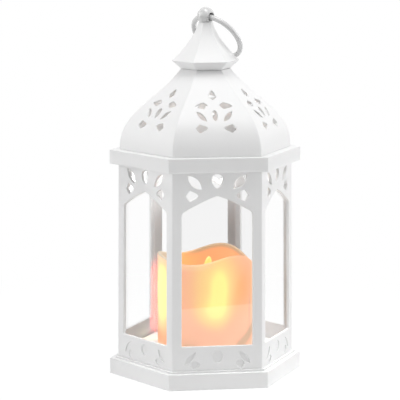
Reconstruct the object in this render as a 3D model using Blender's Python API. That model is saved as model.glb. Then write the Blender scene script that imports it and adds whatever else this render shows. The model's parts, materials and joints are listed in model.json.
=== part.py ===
"""A hexagonal lantern with a battery candle fixed inside it.

Metres, +Z up. The origin is the middle of the base on the table. The front face looks along -Y and
the corners of the hexagon lie at 0, 60, 120 ... degrees round from +X. Face 1 is the front one and
the others follow counterclockwise seen from above.
"""

import math

import bmesh
import bpy
from mathutils import Matrix, Vector
from mathutils.bvhtree import BVHTree

# Clearance between two pieces that touch
GAP = 0.0003

# Base tray
SKIRT_HEIGHT = 0.0122
SKIRT_LEDGE = 0.0040
STEP_HEIGHT = 0.0015
STEP_LEDGE = 0.0023
FLOOR_RISE = 0.0053
FLOOR_THICKNESS = 0.0022
TRAY_WALL = 0.0022
PANE_SHELF_DROP = 0.0020

# Body: one moulded cage with six pierced faces, sizes at its corners
BODY_RADIUS = 0.0687
BODY_DRAFT = 0.0013
BODY_HEIGHT = 0.1501
BODY_WALL = 0.0022
BODY_CORNER = 0.0015
SILL_HEIGHT = 0.0184
POST_WIDTH = 0.0070
ARCH_DROP = 0.0180
ARCH_RISE = 0.0126
ARCH_BULGE = 0.0008
SHOULDER_FILLET = 0.0030
SHOULDER_BEND = 0.12
RELIEF_DEPTH = 0.0005
TAB_WIDTH = 0.0100
TAB_THICKNESS = 0.0012

# Window panes
PANE_THICKNESS = 0.0010

# Roof rim
RIM_HEIGHT = 0.0108
RIM_OVERHANG = 0.00685
RIM_WALL = 0.0022
LIP_DEPTH = 0.0029
LIP_WALL = 0.0012
FLANGE_DEPTH = 0.0039
FLANGE_WALL = 0.0014

# Roof dome
DOME_SETBACK = 0.00785
DOME_HEIGHT = 0.0608
DOME_WALL = 0.0020
DOME_SHOULDER = 0.0285
DOME_SWELL = 0.0010
DOME_WAIST_HEIGHT = 0.0249
DOME_WAIST_OUT = 0.0198
SPIGOT_DEPTH = 0.0031
NECK_RADIUS = 0.0192
NECK_PLATE_DROP = 0.0047
NECK_PLATE_THICKNESS = 0.0020

# Spire cap
COLLAR_HEIGHT = 0.0059
COLLAR_FLARE = 0.0070
COLLAR_BEND_OUT = 0.0022
COLLAR_BEND_RISE = 0.0021
SPIRE_HEIGHT = 0.0291
SPIRE_TOP_RADIUS = 0.0058
SPIRE_FOOT_REACH = 0.0062
SPIRE_FOOT_RISE = 0.0049
SPIRE_TIP_DROP = 0.0067
SPIRE_WALL = 0.0018
SPIRE_TOP_THICKNESS = 0.0030
CAP_SPIGOT_DEPTH = 0.0030

# Finial and hanging ring
BALL_RADIUS = 0.00655
BALL_RISE = 0.0046
FINIAL_COLLAR_RADIUS = 0.0052
FINIAL_COLLAR_HEIGHT = 0.0009
STEM_RADIUS = 0.0025
STEM_BELOW_NUT = 0.0010
WASHER_RADIUS = 0.0050
WASHER_THICKNESS = 0.0010
NUT_RADIUS = 0.0046
NUT_HEIGHT = 0.0040
RING_RADIUS = 0.0206
WIRE_RADIUS = 0.0020
RING_HOLE_RADIUS = 0.0033
RING_HOLE_DROP = 0.0007
RING_AXIS_ANGLE = math.radians(-50)

# Candle
CANDLE_RADIUS = 0.0375
CANDLE_HEIGHT = 0.0715
CANDLE_WALL = 0.0028
CANDLE_SHOULDER = 0.0013
POOL_DEPTH = 0.0188
POOL_THICKNESS = 0.0020
RIM_WAVE = 0.0038
RIM_ROUNDING = 0.0014
FLAME_HEIGHT = 0.0178
FLAME_RADIUS = 0.0032
FLAME_LEAN = 0.0022
FLAME_FLANGE_RADIUS = 0.0045
FLAME_FLANGE_THICKNESS = 0.0017
LED_RADIUS = 0.0015
LED_LENGTH = 0.0060
BOARD_RADIUS = 0.0100
BOARD_THICKNESS = 0.0016
BOARD_POST_RADIUS = 0.0018
BOARD_POST_PITCH = 0.0070
CANDLE_BASE_THICKNESS = 0.0025
BOSS_RADIUS = 0.0035
CANDLE_BOSS_HEIGHT = 0.0065
CANDLE_SCREW_INSET = 0.0095
CANDLE_SCREW_ANGLE = math.radians(60)

# Screws
SCREW_RADIUS = 0.00125
SCREW_HEAD_RADIUS = 0.0026
SCREW_HEAD_HEIGHT = 0.0016
SCREW_LENGTH = 0.0080

# Battery case
BATTERY_RADIUS = 0.00525
BATTERY_LENGTH = 0.0445
NUB_RADIUS = 0.0019
NUB_LENGTH = 0.0009
BATTERY_PITCH = 0.0109
SPRING_LENGTH = 0.0042
SPRING_RADIUS = 0.0032
SPRING_TIP_RADIUS = 0.0022
SPRING_WIRE = 0.00035
SPRING_TURNS = 3
CONTACT_THICKNESS = 0.0004
CONTACT_WIDTH = 0.0080
CONTACT_HEIGHT = 0.0080
CASE_WALL = 0.0015
CASE_HEADROOM = 0.0003
DOOR_THICKNESS = 0.0015
DOOR_LEDGE = 0.0010
DOOR_LEDGE_INSET = 0.0050
DOOR_PIN_RADIUS = 0.0006
DOOR_TAB_WIDTH = 0.0080
DOOR_TAB_REACH = 0.0012
DOOR_TAB_THICKNESS = 0.0009
HINGE_LUG_LENGTH = 0.0036
HINGE_LUG_DROP = 0.0012
EAR_WIDTH = 0.0080
EAR_THICKNESS = 0.0017
EAR_HEIGHT = 0.0056

# Slide switch
SWITCH_LENGTH = 0.0120
SWITCH_WIDTH = 0.0060
SWITCH_HEIGHT = 0.0050
SWITCH_CAVITY_DEPTH = 0.0026
SWITCH_CAVITY_WIDTH = 0.0046
SWITCH_TRAVEL = 0.0030
CARRIAGE_LENGTH = 0.0040
KNOB_SIZE = 0.0026
KNOB_STAND = 0.0012

# Lead wires
LEAD_RADIUS = 0.0006
LEAD_HOLE_RADIUS = 0.0012

# Facets
ROUND = 24
CANDLE_FACETS = 48
DOME_STEPS = 9
SPIRE_STEPS = 6

# Heights, from the table up
STEP_TOP = SKIRT_HEIGHT + STEP_HEIGHT
FLOOR_TOP = STEP_TOP + FLOOR_RISE
FLOOR_UNDER = FLOOR_TOP - FLOOR_THICKNESS
PANE_SHELF = FLOOR_TOP - PANE_SHELF_DROP
SILL = STEP_TOP + SILL_HEIGHT
RIM_BOTTOM = STEP_TOP + BODY_HEIGHT
RIM_TOP = RIM_BOTTOM + RIM_HEIGHT
DECK_UNDER = RIM_TOP - RIM_WALL
BODY_BOTTOM = STEP_TOP + GAP
BODY_TOP = DECK_UNDER - GAP
ARCH_APEX = RIM_BOTTOM - ARCH_DROP
SHOULDER = ARCH_APEX - ARCH_RISE
DOME_FOOT = RIM_TOP + GAP
DOME_TOP = DOME_FOOT + DOME_HEIGHT
NECK_PLATE_TOP = DOME_TOP - NECK_PLATE_DROP
NECK_PLATE_UNDER = NECK_PLATE_TOP - NECK_PLATE_THICKNESS
COLLAR_FOOT = DOME_TOP + GAP
SPIRE_RIM = COLLAR_FOOT + COLLAR_HEIGHT
SPIRE_TOP = SPIRE_RIM + SPIRE_HEIGHT
FINIAL_FOOT = SPIRE_TOP + GAP
BALL_CENTRE = FINIAL_FOOT + BALL_RISE
RING_PIVOT = BALL_CENTRE - RING_HOLE_DROP
WASHER_TOP = NECK_PLATE_UNDER - GAP
NUT_TOP = WASHER_TOP - WASHER_THICKNESS - GAP
STEM_END = NUT_TOP - NUT_HEIGHT - STEM_BELOW_NUT

# Corner radii of the hexagons
STEP_RADIUS = BODY_RADIUS + STEP_LEDGE
SKIRT_RADIUS = STEP_RADIUS + SKIRT_LEDGE
BODY_TOP_RADIUS = BODY_RADIUS - BODY_DRAFT
RIM_RADIUS = BODY_TOP_RADIUS + RIM_OVERHANG
DOME_RADIUS = RIM_RADIUS - DOME_SETBACK
SPIRE_RIM_RADIUS = NECK_RADIUS + COLLAR_FLARE

# Candle heights and radii
CANDLE_FOOT = FLOOR_TOP + GAP
CANDLE_RIM = CANDLE_FOOT + CANDLE_HEIGHT
CANDLE_BORE = CANDLE_RADIUS - CANDLE_WALL
CANDLE_LOWER_BORE = CANDLE_BORE - CANDLE_SHOULDER
CANDLE_SCREW_REACH = CANDLE_RADIUS - CANDLE_SCREW_INSET
POOL_TOP = CANDLE_RIM - POOL_DEPTH
POOL_UNDER = POOL_TOP - POOL_THICKNESS
POOL_SEAT = POOL_UNDER - GAP
FLANGE_TOP = POOL_UNDER - GAP
FLAME_FOOT = FLANGE_TOP - FLAME_FLANGE_THICKNESS
BOARD_TOP = FLAME_FOOT - GAP
BOARD_UNDER = BOARD_TOP - BOARD_THICKNESS

# Battery case levels and lengths
CASE_TOP = FLOOR_UNDER - GAP
CASE_CEILING = CASE_TOP - CASE_WALL
BATTERY_HEIGHT = CASE_CEILING - CASE_HEADROOM - BATTERY_RADIUS
DOOR_TOP = BATTERY_HEIGHT - BATTERY_RADIUS - GAP
DOOR_BOTTOM = DOOR_TOP - DOOR_THICKNESS
HINGE_HEIGHT = (DOOR_TOP + DOOR_BOTTOM) / 2
CELL_ROOM = BATTERY_LENGTH + SPRING_LENGTH + 2 * CONTACT_THICKNESS + 5 * GAP
BAY_END = CELL_ROOM / 2
BAY_SIDE = BATTERY_PITCH + BATTERY_RADIUS + GAP
CASE_END = BAY_END + CASE_WALL
CASE_SIDE = BAY_SIDE + CASE_WALL
HINGE_X = -BAY_END + DOOR_THICKNESS / 2 + GAP
CONTACT_X = BAY_END - GAP - CONTACT_THICKNESS / 2
DOOR_SIDE = BAY_SIDE - GAP
TAB_TOP = HINGE_HEIGHT + DOOR_TAB_THICKNESS / 2
EAR_X = CASE_END + BOSS_RADIUS + 2 * GAP
EAR_BOTTOM = DOOR_BOTTOM + EAR_HEIGHT
EAR_TOP = EAR_BOTTOM + EAR_THICKNESS
SWITCH_Y = -(CASE_SIDE + 2 * GAP + SWITCH_WIDTH / 2)
SWITCH_BOTTOM = DOOR_TOP + GAP
SWITCH_REST = -SWITCH_TRAVEL / 2

COS30 = math.cos(math.radians(30))
TAN30 = math.tan(math.radians(30))


# Small tools


def clear_scene():
    """Removes whatever the scene holds."""
    for obj in list(bpy.data.objects):
        bpy.data.objects.remove(obj, do_unlink=True)


def material(name, colour, roughness, metallic=0.0, alpha=1.0, glow=0.0):
    """A Principled material of one colour."""
    made = bpy.data.materials.new(name)
    made.use_nodes = True
    shader = made.node_tree.nodes["Principled BSDF"]
    shader.inputs["Base Color"].default_value = (*colour, 1.0)
    shader.inputs["Roughness"].default_value = roughness
    shader.inputs["Metallic"].default_value = metallic
    shader.inputs["Alpha"].default_value = alpha
    shader.inputs["Emission Color"].default_value = (*colour, 1.0)
    shader.inputs["Emission Strength"].default_value = glow
    made.diffuse_color = (*colour, alpha)
    return made


def mesh_object(name, points, faces, look=None, place=(0.0, 0.0, 0.0)):
    """An object from points and faces in world metres, with its origin at place."""
    origin = Vector(place)
    mesh = bpy.data.meshes.new(name)
    mesh.from_pydata([Vector(p) - origin for p in points], [], faces)
    shaped = bmesh.new()
    shaped.from_mesh(mesh)
    bmesh.ops.recalc_face_normals(shaped, faces=shaped.faces)
    shaped.to_mesh(mesh)
    shaped.free()
    if look:
        mesh.materials.append(look)
    obj = bpy.data.objects.new(name, mesh)
    obj.location = origin
    bpy.context.scene.collection.objects.link(obj)
    return obj


def loft_faces(count, sides, first, closed):
    """Quads between count rings of so many sides, and the two end caps unless the loft closes."""
    faces = []
    for ring in range(count if closed else count - 1):
        low = first + ring * sides
        high = first + (ring + 1) % count * sides
        for i in range(sides):
            j = (i + 1) % sides
            faces.append((low + i, low + j, high + j, high + i))
    if not closed:
        last = first + (count - 1) * sides
        faces.append(tuple(range(first, first + sides)))
        faces.append(tuple(range(last, last + sides)))
    return faces


def loft(name, rings, look=None, closed=False, place=(0.0, 0.0, 0.0)):
    """One body through a list of rings with equal counts of points."""
    points = [point for ring in rings for point in ring]
    faces = loft_faces(len(rings), len(rings[0]), 0, closed)
    return mesh_object(name, points, faces, look, place)


def lofts(name, bodies):
    """Several separate bodies, each a list of rings, in one mesh to cut or add with."""
    points, faces = [], []
    for rings in bodies:
        faces += loft_faces(len(rings), len(rings[0]), len(points), False)
        points += [point for ring in rings for point in ring]
    return mesh_object(name, points, faces)


def ring_of(radius, height, sides=6, turn=0.0, centre=(0.0, 0.0)):
    """A level polygon with its first corner turned so far round from +X."""
    angles = [turn + math.tau * i / sides for i in range(sides)]
    x, y = centre
    return [Vector((x + radius * math.cos(a), y + radius * math.sin(a), height)) for a in angles]


def rounded_hexagon(radius, fillet, height, steps=3):
    """A level hexagon whose corners are arcs of the fillet radius."""
    points = []
    for corner in range(6):
        middle = math.radians(60 * corner)
        centre = (radius - fillet / COS30) * Vector((math.cos(middle), math.sin(middle), 0))
        for i in range(steps + 1):
            angle = middle + math.radians(-30 + 60 * i / steps)
            points.append(centre + Vector((fillet * math.cos(angle), fillet * math.sin(angle), height)))
    return points


def turned(name, profile, look=None, sides=ROUND, centre=(0.0, 0.0), closed=False, place=None):
    """A loft of level rings, one for each (radius, height) of the profile."""
    rings = [ring_of(radius, height, sides, 0.0, centre) for radius, height in profile]
    return loft(name, rings, look, closed, place or (*centre, 0.0))


def box_rings(corner, opposite):
    """The two rings of a box between two opposite corners."""
    (x0, x1), (y0, y1), (z0, z1) = (sorted(pair) for pair in zip(corner, opposite))
    return [[Vector(p) for p in ((x0, y0, z), (x1, y0, z), (x1, y1, z), (x0, y1, z))] for z in (z0, z1)]


def rod_rings(start, end, radius, sides=ROUND):
    """The two rings of a straight rod between two points."""
    start, end = Vector(start), Vector(end)
    along = (end - start).normalized()
    side = along.orthogonal().normalized()
    other = along.cross(side)
    angles = [math.tau * i / sides for i in range(sides)]
    offsets = [radius * (math.cos(a) * side + math.sin(a) * other) for a in angles]
    return [[start + o for o in offsets], [end + o for o in offsets]]


def change(obj, bodies, operation):
    """Cuts or adds the given bodies with one exact Boolean."""
    tool = lofts(f"{obj.name}_{operation.lower()}", bodies)
    tool.hide_render = True
    tool.display_type = "WIRE"
    boolean = obj.modifiers.new(tool.name, "BOOLEAN")
    boolean.object = tool
    boolean.operation = operation
    boolean.solver = "EXACT"


def smooth(obj, angle=math.radians(35)):
    """Smooth shading, with the real edges kept sharp."""
    obj.data.shade_smooth()
    obj.data.set_sharp_from_angle(angle=angle)


def bezier(start, first, second, end, steps):
    """Points along a cubic curve, both ends included."""
    points = []
    for i in range(steps + 1):
        t = i / steps
        weights = ((1 - t) ** 3, 3 * t * (1 - t) ** 2, 3 * t * t * (1 - t), t**3)
        corners = (start, first, second, end)
        points.append(tuple(sum(w * c[axis] for w, c in zip(weights, corners)) for axis in (0, 1)))
    return points


def inset_curve(points, wall):
    """The curve at a wall's distance on its inner side, for corner radii of a hexagon."""
    moved = []
    for i, (radius, height) in enumerate(points):
        before, after = points[max(i - 1, 0)], points[min(i + 1, len(points) - 1)]
        run = (after[0] - before[0]) * COS30
        rise = after[1] - before[1]
        length = math.hypot(run, rise)
        moved.append((radius - wall * rise / length / COS30, height + wall * run / length))
    return moved


# Ornament: petals as flat outlines, their long axis along the first coordinate


def leaf(length, width, steps=4):
    """A leaf with two pointed tips, its sides parabolas."""
    across = [-1 + 2 * i / steps for i in range(steps + 1)]
    lower = [(length / 2 * t, -width / 2 * (1 - t * t)) for t in across]
    upper = [(-x, -y) for x, y in lower]
    return lower[:-1] + upper[:-1]


def egg(length, width, steps=10):
    """An egg, broad towards the outer end."""
    points = []
    for i in range(steps):
        angle = math.tau * i / steps
        swell = 1 + 0.22 * math.cos(angle)
        points.append((length / 2 * math.cos(angle), width / 2 * math.sin(angle) * swell))
    return points


def bud(length, width):
    """A kite, broad towards the outer end, with a blunt inner end."""
    half, side = length / 2, width / 2
    upper = [(half, 0.0), (0.36 * half, side), (-0.64 * half, 0.45 * side)]
    return upper + [(-half, 0.0), (-0.64 * half, -0.45 * side), (0.36 * half, -side)]


# Each petal: its outline, where it sits across and up the face, and the angle of its outer end.
# Those off the middle are mirrored.
FAN = (
    (egg(0.0104, 0.0082), 0.0, 0.0111, 90),
    (leaf(0.0148, 0.0062), 0.0170, 0.0101, 45),
    (bud(0.0098, 0.0086), 0.0189, 0.0001, 0),
)
BAND = (
    (egg(0.0088, 0.0078), 0.0, 0.0101, 90),
    (leaf(0.0120, 0.0040), 0.0207, 0.0094, -48),
    (bud(0.0076, 0.0068), 0.0171, 0.0043, -8),
)
DOME_MOTIF = (
    (bud(0.0066, 0.0064), 0.0, 0.0434, -90),
    (bud(0.0100, 0.0046), 0.0092, 0.0362, 177),
    (leaf(0.0096, 0.0034), 0.0099, 0.0289, 43),
    (egg(0.0072, 0.0042), 0.0, 0.0295, 90),
    (bud(0.0098, 0.0062), 0.0107, 0.0205, -4),
)


def petals(motif):
    """Every outline of a motif, placed on the face as (across, up) points."""
    for outline, across, up, degrees in motif:
        angle = math.radians(degrees)
        c, s = math.cos(angle), math.sin(angle)
        placed = [(across + c * x - s * y, up + s * x + c * y) for x, y in outline]
        yield placed
        if across:
            yield [(-x, y) for x, y in reversed(placed)]


def about_axis(point, face):
    """A point of the front face carried round to another face, 0 to 5."""
    return Matrix.Rotation(math.radians(60 * face), 3, "Z") @ Vector(point)


# Body


def body_radius(height):
    """Outer corner radius of the body, which narrows evenly as it rises."""
    return BODY_RADIUS - BODY_DRAFT * (height - STEP_TOP) / BODY_HEIGHT


def body_apothem(height, inward=0.0):
    """Distance from the axis to a face, a wall or more inside its outer surface."""
    lean = math.hypot(1.0, BODY_DRAFT * COS30 / BODY_HEIGHT)
    return body_radius(height) * COS30 - inward * lean


def face_prism(outline, deep, proud):
    """The body that sweeps a front-face outline from so deep inside the wall to so far outside."""
    return [[(x, -body_apothem(z, deep), z) for x, z in outline],
            [(x, -body_apothem(z) - proud, z) for x, z in outline]]


def on_every_face(rings):
    """The same body on each of the six faces."""
    return [[[about_axis(point, face) for point in ring] for ring in rings] for face in range(6)]


def window_outline():
    """The arched window: a sill, straight posts, rounded shoulders and two bulging slopes."""
    low = body_radius(SILL) / 2 - POST_WIDTH
    high = body_radius(SHOULDER) / 2 - POST_WIDTH
    rise = SHOULDER_FILLET * ARCH_RISE / math.hypot(high, ARCH_RISE)
    back = SHOULDER_FILLET * high / math.hypot(high, ARCH_RISE)
    shoulder = (high - SHOULDER_BEND * back, SHOULDER - 2.5 * SHOULDER_BEND * rise)
    right = [(low, SILL), (high, SHOULDER - SHOULDER_FILLET), shoulder]
    steps = 5
    for i in range(steps + 1):
        t = i / steps
        x = (high - back) * (1 - t)
        y = SHOULDER + rise + (ARCH_RISE - rise) * t + 4 * ARCH_BULGE * t * (1 - t)
        right.append((x, y))
    left = [(-x, y) for x, y in reversed(right[:-1])]
    return right + left


def build_body_frame(look):
    rings = [rounded_hexagon(body_radius(BODY_BOTTOM), BODY_CORNER, BODY_BOTTOM),
             rounded_hexagon(body_radius(BODY_TOP), BODY_CORNER, BODY_TOP)]
    inner = [rounded_hexagon(body_apothem(z, BODY_WALL) / COS30, BODY_CORNER / 3, z)
             for z in (BODY_TOP, BODY_BOTTOM)]
    body = loft("body_frame", rings + inner, look, closed=True)
    middle = body_apothem(BODY_BOTTOM, BODY_WALL / 2)
    tab = box_rings((-TAB_WIDTH / 2, -middle - TAB_THICKNESS / 2, STEP_TOP - FLOOR_THICKNESS),
                    (TAB_WIDTH / 2, -middle + TAB_THICKNESS / 2, BODY_BOTTOM + BODY_WALL))
    change(body, on_every_face(tab), "UNION")
    through = 2 * BODY_WALL
    cuts = on_every_face(face_prism(window_outline(), through, BODY_WALL))
    for outline in petals(FAN):
        placed = [(x, y + ARCH_APEX) for x, y in outline]
        cuts += on_every_face(face_prism(placed, through, BODY_WALL))
    for outline in petals(BAND):
        placed = [(x, y + STEP_TOP) for x, y in outline]
        cuts += on_every_face(face_prism(placed, RELIEF_DEPTH, BODY_WALL))
    change(body, cuts, "DIFFERENCE")
    return body


def build_window_panes(look):
    """Six clear sheets against the inside of the body, standing in the tray and held by the rim."""
    low, high = PANE_SHELF + GAP, DECK_UNDER - GAP
    front, back = BODY_WALL + GAP, BODY_WALL + GAP + PANE_THICKNESS
    for face in range(6):
        rings = []
        for z in (low, high):
            half = body_apothem(z, back) * TAN30 - GAP
            ring = [(-half, -body_apothem(z, front), z), (half, -body_apothem(z, front), z),
                    (half, -body_apothem(z, back), z), (-half, -body_apothem(z, back), z)]
            rings.append([about_axis(point, face) for point in ring])
        loft(f"window_pane_{face + 1}", rings, look)


# Base


def screw_places():
    """Where the two candle screws pass the floor."""
    x = CANDLE_SCREW_REACH * math.cos(CANDLE_SCREW_ANGLE)
    y = CANDLE_SCREW_REACH * math.sin(CANDLE_SCREW_ANGLE)
    return [(x, y), (-x, -y)]


def lead_places():
    """Where the two leads come down over their contacts: positive, then negative."""
    return [(CONTACT_X, BATTERY_PITCH), (-CONTACT_X, -BATTERY_PITCH)]


def build_base_tray(look):
    plateau = (body_apothem(PANE_SHELF, BODY_WALL) - GAP) / COS30
    floor = (body_apothem(FLOOR_TOP, BODY_WALL + PANE_THICKNESS) - 2 * GAP) / COS30
    well = floor - TRAY_WALL
    skirt_inner = SKIRT_RADIUS - TRAY_WALL / COS30
    step_under = STEP_TOP - TRAY_WALL
    profile = [(well, FLOOR_UNDER), (well, step_under), (skirt_inner, step_under), (skirt_inner, 0.0),
               (SKIRT_RADIUS, 0.0), (SKIRT_RADIUS, SKIRT_HEIGHT), (STEP_RADIUS, SKIRT_HEIGHT),
               (STEP_RADIUS, STEP_TOP), (plateau, STEP_TOP), (plateau, PANE_SHELF),
               (floor, PANE_SHELF), (floor, FLOOR_TOP)]
    tray = turned("base_tray", profile, look, sides=6)
    bosses = [rod_rings((x, 0, EAR_TOP + GAP), (x, 0, FLOOR_UNDER + FLOOR_THICKNESS / 2), BOSS_RADIUS)
              for x in (-EAR_X, EAR_X)]
    change(tray, bosses, "UNION")
    ledge = body_apothem(BODY_BOTTOM, BODY_WALL / 2)
    half = TAB_THICKNESS / 2 + GAP
    slot = box_rings((-TAB_WIDTH / 2 - GAP, -ledge - half, step_under - TRAY_WALL),
                     (TAB_WIDTH / 2 + GAP, -ledge + half, STEP_TOP + TRAY_WALL / 2))
    cuts = on_every_face(slot)
    below, above = FLOOR_UNDER - FLOOR_THICKNESS, FLOOR_TOP + FLOOR_THICKNESS
    cuts += [rod_rings((x, y, below), (x, y, above), SCREW_RADIUS + GAP, 12) for x, y in screw_places()]
    cuts += [rod_rings((x, y, below), (x, y, above), LEAD_HOLE_RADIUS, 12) for x, y in lead_places()]
    pilot_top = EAR_BOTTOM + SCREW_LENGTH
    cuts += [rod_rings((x, 0, 0), (x, 0, pilot_top), SCREW_RADIUS + GAP, 12) for x in (-EAR_X, EAR_X)]
    change(tray, cuts, "DIFFERENCE")
    return tray


# Roof


def build_roof_rim(look):
    outer, inner = RIM_RADIUS, RIM_RADIUS - RIM_WALL / COS30
    lip_bottom, flange_bottom = DECK_UNDER - LIP_DEPTH, DECK_UNDER - FLANGE_DEPTH
    lip = body_apothem(lip_bottom) + GAP
    flange = body_apothem(DECK_UNDER, BODY_WALL + PANE_THICKNESS) - 2 * GAP
    flange_inner = flange - FLANGE_WALL
    profile = [(outer, RIM_BOTTOM), (outer, RIM_TOP), (flange_inner / COS30, RIM_TOP),
               (flange_inner / COS30, flange_bottom), (flange / COS30, flange_bottom),
               (flange / COS30, DECK_UNDER), (lip / COS30, DECK_UNDER), (lip / COS30, lip_bottom),
               ((lip + LIP_WALL) / COS30, lip_bottom), ((lip + LIP_WALL) / COS30, DECK_UNDER),
               (inner, DECK_UNDER), (inner, RIM_BOTTOM)]
    turned("roof_rim", profile, look, sides=6, closed=True)
    return flange_inner


def dome_curve(steps):
    """The dome's outer corner profile, foot to neck."""
    shoulder = (DOME_RADIUS + DOME_SWELL, DOME_FOOT + DOME_SHOULDER)
    waist = (NECK_RADIUS + DOME_WAIST_OUT, DOME_TOP - DOME_WAIST_HEIGHT)
    return bezier((DOME_RADIUS, DOME_FOOT), shoulder, waist, (NECK_RADIUS, DOME_TOP), steps)


def dome_at(height):
    """Apothem of the dome's outer surface at a height, with the outward and upward share of its normal."""
    curve = dome_curve(60)
    for (r0, z0), (r1, z1) in zip(curve, curve[1:]):
        if height <= z1:
            break
    run, rise = (r1 - r0) * COS30, z1 - z0
    length = math.hypot(run, rise)
    return (r0 + (r1 - r0) * (height - z0) / rise) * COS30, rise / length, -run / length


def dome_prism(outline):
    """Sweeps a petal of the front dome face through the shell along the slope's normal."""
    heights = [z for _, z in outline]
    _, out, up = dome_at((min(heights) + max(heights)) / 2)
    deep, proud = [], []
    for x, z in outline:
        apothem = dome_at(z)[0]
        for ring, distance in ((deep, -2 * DOME_WALL), (proud, DOME_WALL)):
            ring.append((x, -apothem - out * distance, z + up * distance))
    return [deep, proud]


def build_roof_dome(look, opening):
    outer = dome_curve(DOME_STEPS)
    inner = inset_curve(outer, DOME_WALL)
    spigot = (opening - GAP) / COS30
    spigot_inner = spigot - DOME_WALL / COS30
    foot_top = DOME_FOOT + DOME_WALL
    inside = [point for point in inner if foot_top < point[1] < DOME_TOP - DOME_WALL / 2]
    neck_inner = NECK_RADIUS - DOME_WALL / COS30
    profile = [(spigot_inner, foot_top), (spigot_inner, RIM_TOP - SPIGOT_DEPTH),
               (spigot, RIM_TOP - SPIGOT_DEPTH), (spigot, DOME_FOOT)] + outer
    profile += [(neck_inner, DOME_TOP)] + inside[::-1] + [(inside[0][0], foot_top)]
    dome = turned("roof_dome", profile, look, sides=6, closed=True)
    apothem, out, _ = dome_at((NECK_PLATE_UNDER + NECK_PLATE_TOP) / 2)
    plate_radius = (apothem - DOME_WALL / 2 / out) / COS30
    plate = [ring_of(plate_radius, NECK_PLATE_UNDER), ring_of(plate_radius, NECK_PLATE_TOP)]
    change(dome, [plate], "UNION")
    cuts = []
    for outline in petals(DOME_MOTIF):
        cuts += on_every_face(dome_prism([(x, y + DOME_FOOT) for x, y in outline]))
    cuts.append(rod_rings((0, 0, NECK_PLATE_UNDER - DOME_WALL), (0, 0, NECK_PLATE_TOP + DOME_WALL),
                          STEM_RADIUS + GAP))
    change(dome, cuts, "DIFFERENCE")
    return dome


def build_spire_cap(look):
    foot = (SPIRE_RIM_RADIUS - SPIRE_FOOT_REACH, SPIRE_RIM + SPIRE_FOOT_RISE)
    tip = (SPIRE_TOP_RADIUS, SPIRE_TOP - SPIRE_TIP_DROP)
    outer = bezier((SPIRE_RIM_RADIUS, SPIRE_RIM), foot, tip, (SPIRE_TOP_RADIUS, SPIRE_TOP), SPIRE_STEPS)
    bore = STEM_RADIUS + GAP
    ceiling = SPIRE_TOP - SPIRE_TOP_THICKNESS
    inner = [(radius, height) for radius, height in inset_curve(outer, SPIRE_WALL)
             if SPIRE_RIM + SPIRE_WALL < height < ceiling and radius > bore + SPIRE_WALL / 2]
    spigot = NECK_RADIUS - (DOME_WALL + GAP) / COS30
    spigot_inner = spigot - SPIRE_WALL
    spigot_foot = COLLAR_FOOT - CAP_SPIGOT_DEPTH
    profile = [(spigot_inner, spigot_foot), (spigot, spigot_foot), (spigot, COLLAR_FOOT),
               (NECK_RADIUS, COLLAR_FOOT),
               (NECK_RADIUS + COLLAR_BEND_OUT, COLLAR_FOOT + COLLAR_BEND_RISE)]
    profile += outer + [(bore / COS30, SPIRE_TOP), (bore / COS30, ceiling)] + inner[::-1]
    profile += [(inner[0][0], SPIRE_RIM), (spigot_inner, COLLAR_FOOT)]
    return turned("spire_cap", profile, look, sides=6, closed=True)


# Finial and ring


RING_AXIS = Vector((math.cos(RING_AXIS_ANGLE), math.sin(RING_AXIS_ANGLE), 0.0))
RING_LEAN = Vector((-RING_AXIS.y, RING_AXIS.x, 0.0))


def build_finial_knob(look):
    """A ball on a short collar, with a stem down through the spire to the neck plate."""
    start = math.asin((FINIAL_FOOT + FINIAL_COLLAR_HEIGHT - BALL_CENTRE) / BALL_RADIUS)
    steps = 9
    profile = [(STEM_RADIUS, STEM_END), (STEM_RADIUS, FINIAL_FOOT), (FINIAL_COLLAR_RADIUS, FINIAL_FOOT)]
    for i in range(steps):
        angle = start + (math.pi / 2 - start) * i / steps
        profile.append((BALL_RADIUS * math.cos(angle), BALL_CENTRE + BALL_RADIUS * math.sin(angle)))
    profile.append((BALL_RADIUS / 40, BALL_CENTRE + BALL_RADIUS))
    knob = turned("finial_knob", profile, look)
    middle = Vector((0, 0, RING_PIVOT))
    reach = 2 * BALL_RADIUS * RING_AXIS
    change(knob, [rod_rings(middle - reach, middle + reach, RING_HOLE_RADIUS, 20)], "DIFFERENCE")
    smooth(knob)
    return knob


def ring_centreline(tilt, count=48):
    """The wire's centre when the ring leans back so far from hanging straight down."""
    pivot = Vector((0, 0, RING_PIVOT))
    down = math.sin(tilt) * RING_LEAN - math.cos(tilt) * Vector((0, 0, 1))
    middle = pivot + RING_RADIUS * down
    angles = [math.tau * i / count for i in range(count)]
    return [middle + RING_RADIUS * (math.cos(a) * down + math.sin(a) * RING_AXIS) for a in angles]


def rest_tilt(cap):
    """How far the ring leans when its wire comes to rest on the rim of the spire cap."""
    bpy.context.view_layer.update()
    tree = BVHTree.FromObject(cap, bpy.context.evaluated_depsgraph_get())
    low, high = math.radians(20), math.radians(80)
    for _ in range(30):
        tilt = (low + high) / 2
        nearest = min(tree.find_nearest(point)[3] for point in ring_centreline(tilt, 240))
        if nearest > WIRE_RADIUS + GAP:
            high = tilt
        else:
            low = tilt
    return high


def build_hanging_ring(look, tilt, segments=40, sides=8):
    centres = ring_centreline(tilt, segments)
    middle = sum(centres, Vector()) / segments
    normal = (centres[0] - middle).cross(RING_AXIS).normalized()
    rings = []
    for centre in centres:
        out = (centre - middle).normalized()
        angles = [math.tau * i / sides for i in range(sides)]
        rings.append([centre + WIRE_RADIUS * (math.cos(a) * out + math.sin(a) * normal) for a in angles])
    ring = loft("hanging_ring", rings, look, closed=True, place=(0, 0, RING_PIVOT))
    smooth(ring)
    return ring


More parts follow.
